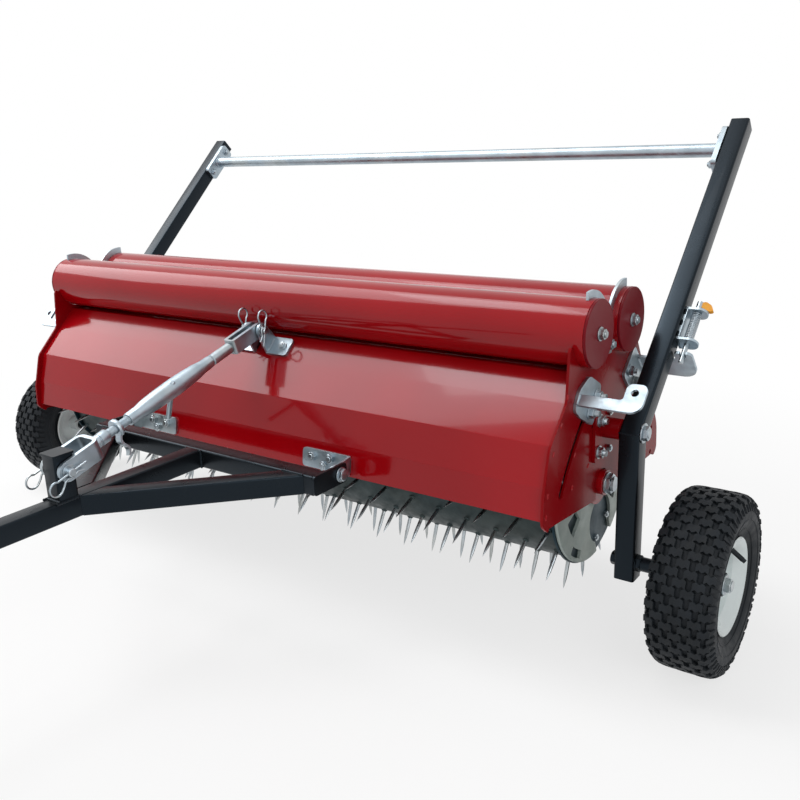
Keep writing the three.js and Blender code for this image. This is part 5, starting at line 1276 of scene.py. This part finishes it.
def make_sleeve():
    """The swaged turning sleeve, its tommy bar, and the lock ring with its S-shaped handle."""
    start, end, steps = SLEEVE_START, SLEEVE_END, 12
    long = end - start - 2 * SLEEVE_TAPER
    profile = [(-start, 9.4), (-start, 12.6), (-start - 3, 13)]
    for t in (k / steps for k in range(steps + 1)):
        swell = 13.5 + 5.5 * math.sin(math.pi * t) ** 0.6
        profile.append((-start - SLEEVE_TAPER - long * t, swell))
    profile += [(-end + 3, 13), (-end, 12.6), (-end, 9.4)]
    sleeve = Solid(LINK).revolve("y", 0, 0, profile, 56)
    piece("link_barrel", sleeve, ZINC, "link_turn", ["link_sleeve"], edge=0, smooth=35)
    tommy = Solid(on_link(256, 32)).rod("z", 0, 0, 5.5, -92, 21, 32, 2)
    piece("link_tommy_bar", tommy, ZINC, "link_turn", edge=0)

    ring = Solid(LINK).revolve("y", 0, 0, LOCK_RING, 48).turned(on_link(404, 170))
    handle, steps, thick = [], 16, 2.5
    for t in (k / steps for k in range(steps + 1)):
        wide, curl, reach = 8.5 - 3 * t, -5 * math.sin(2 * math.pi * t) - 3 * t, 14 + 44 * t
        handle.append([(a, curl + b, reach) for a, b in rect(-wide, wide, -thick, thick)])
    ring.rings(handle)
    piece("link_ring", ring, ZINC, "link_lock", ["link_lock_ring"], edge=0, smooth=45)


def make_link_brackets():
    seat = on_flat(3, 0.5, 0, FIT)
    eye = (seat.inverted() @ Vector((0, *LINK_REAR))).yz
    inner, outer, foot, wide = 17, 23, 77, 22
    ear = [(-wide, 0), (wide, 0), *arc(*eye, 15, 0, 180, 20)]
    ears = Solid(seat).slab("x", ear, inner, outer, [circle(*eye, EYE_R, 28)])
    ears.slab("z", rounded(rect(inner, foot, -wide, wide), 9), 0, 6)
    ears.weld([(outer, v, 6) for v in (-18, 18)], 2.6)
    both_sides("link_bracket", ears, ZINC, "chassis", ["link_ear_{side}"], edge=0.8)
    bolt_set("link_bracket_bolt", [(57, 0)], 6, M10, 2, "chassis", Solid(seat), "z")


def make_link_pins():
    for name, at, half, body, ahead, bow in LINK_PINS:
        pin = Solid().rod("x", *at, 7.9, -half, half, 40, 1.5)
        clips = Solid()
        for way in (-1, 1):
            pin.rod("x", *at, 13.5, way * (half - 11.6), way * (half - 10), 40, 0.4)
            clips.wire(clip_path(way * (half - 5.5), at, Vector(ahead).normalized(), bow), 1.9, 12)
        piece(f"link_{name}_pivot_pin", pin, NUTS, body, [f"link_{name}_pin"], edge=0)
        piece(f"link_{name}_clips", clips, NUTS, body, edge=0, smooth=60)


def clip_path(x, at, ahead, bow):
    """A spring clip: a straight leg through the pin, a round bow, and a waved leg over the pin."""
    r, rise = 13.0, 10.5
    start = 180 + math.degrees(math.asin(rise / r))
    flat = [(-34, 0), *arc(bow, rise, r, start, 720 - start, 32)]
    flat += [(bow - 15, 15.5), (bow - 21, 9.0), *CLIP_WAVES]
    across = Vector((-ahead.y, ahead.x))
    return resample([Vector((x, *(at + ahead * a + across * b))) for a, b in flat], 2)


def u_strap(solid, half, tall, pin_at, closed, way, bore, corner):
    """The fork's two cheeks with round ends and eyes, and the bent end that joins them."""
    bend, steps, inside = closed - way * corner, 8, half - STRAP
    round_end = arc(pin_at, 0, tall / 2, 90 * way, 90 * way + 180, 20)
    cheek = [*round_end, (bend, -way * tall / 2), (bend, way * tall / 2)]
    for side in (-1, 1):
        solid.slab("x", cheek, side * half, side * inside, [circle(pin_at, 0, bore, 28)])
    outer, inner = [], []
    small = max(corner - STRAP, 0.5)
    for cx, first in ((corner - half, 180), (half - corner, 90)):
        for t in (rad(first - 90 * k / steps) for k in range(steps + 1)):
            x, y = math.cos(t), way * math.sin(t)
            outer.append((cx + corner * x, bend + corner * y))
            inner.append((max(-inside, min(inside, cx + small * x)), bend + small * y))
    solid.slab("z", [*outer, *reversed(inner)], -tall / 2, tall / 2)


# ---------------------------------------------------------------- build

bpy.context.scene.view_settings.view_transform = "Standard"
make_camera()
make_world()
make_lamps()
make_floor()
make_hood()
make_side_plates()
make_tubes()
make_clamps()
make_drum()
make_arms()
make_cross_tube()
make_pivots()
make_axles()
make_tyre()
make_rim()
make_latches()
make_catches()
make_stops()
make_drawbar()
make_hinges()
make_forks()
make_sleeve()
make_link_brackets()
make_link_pins()
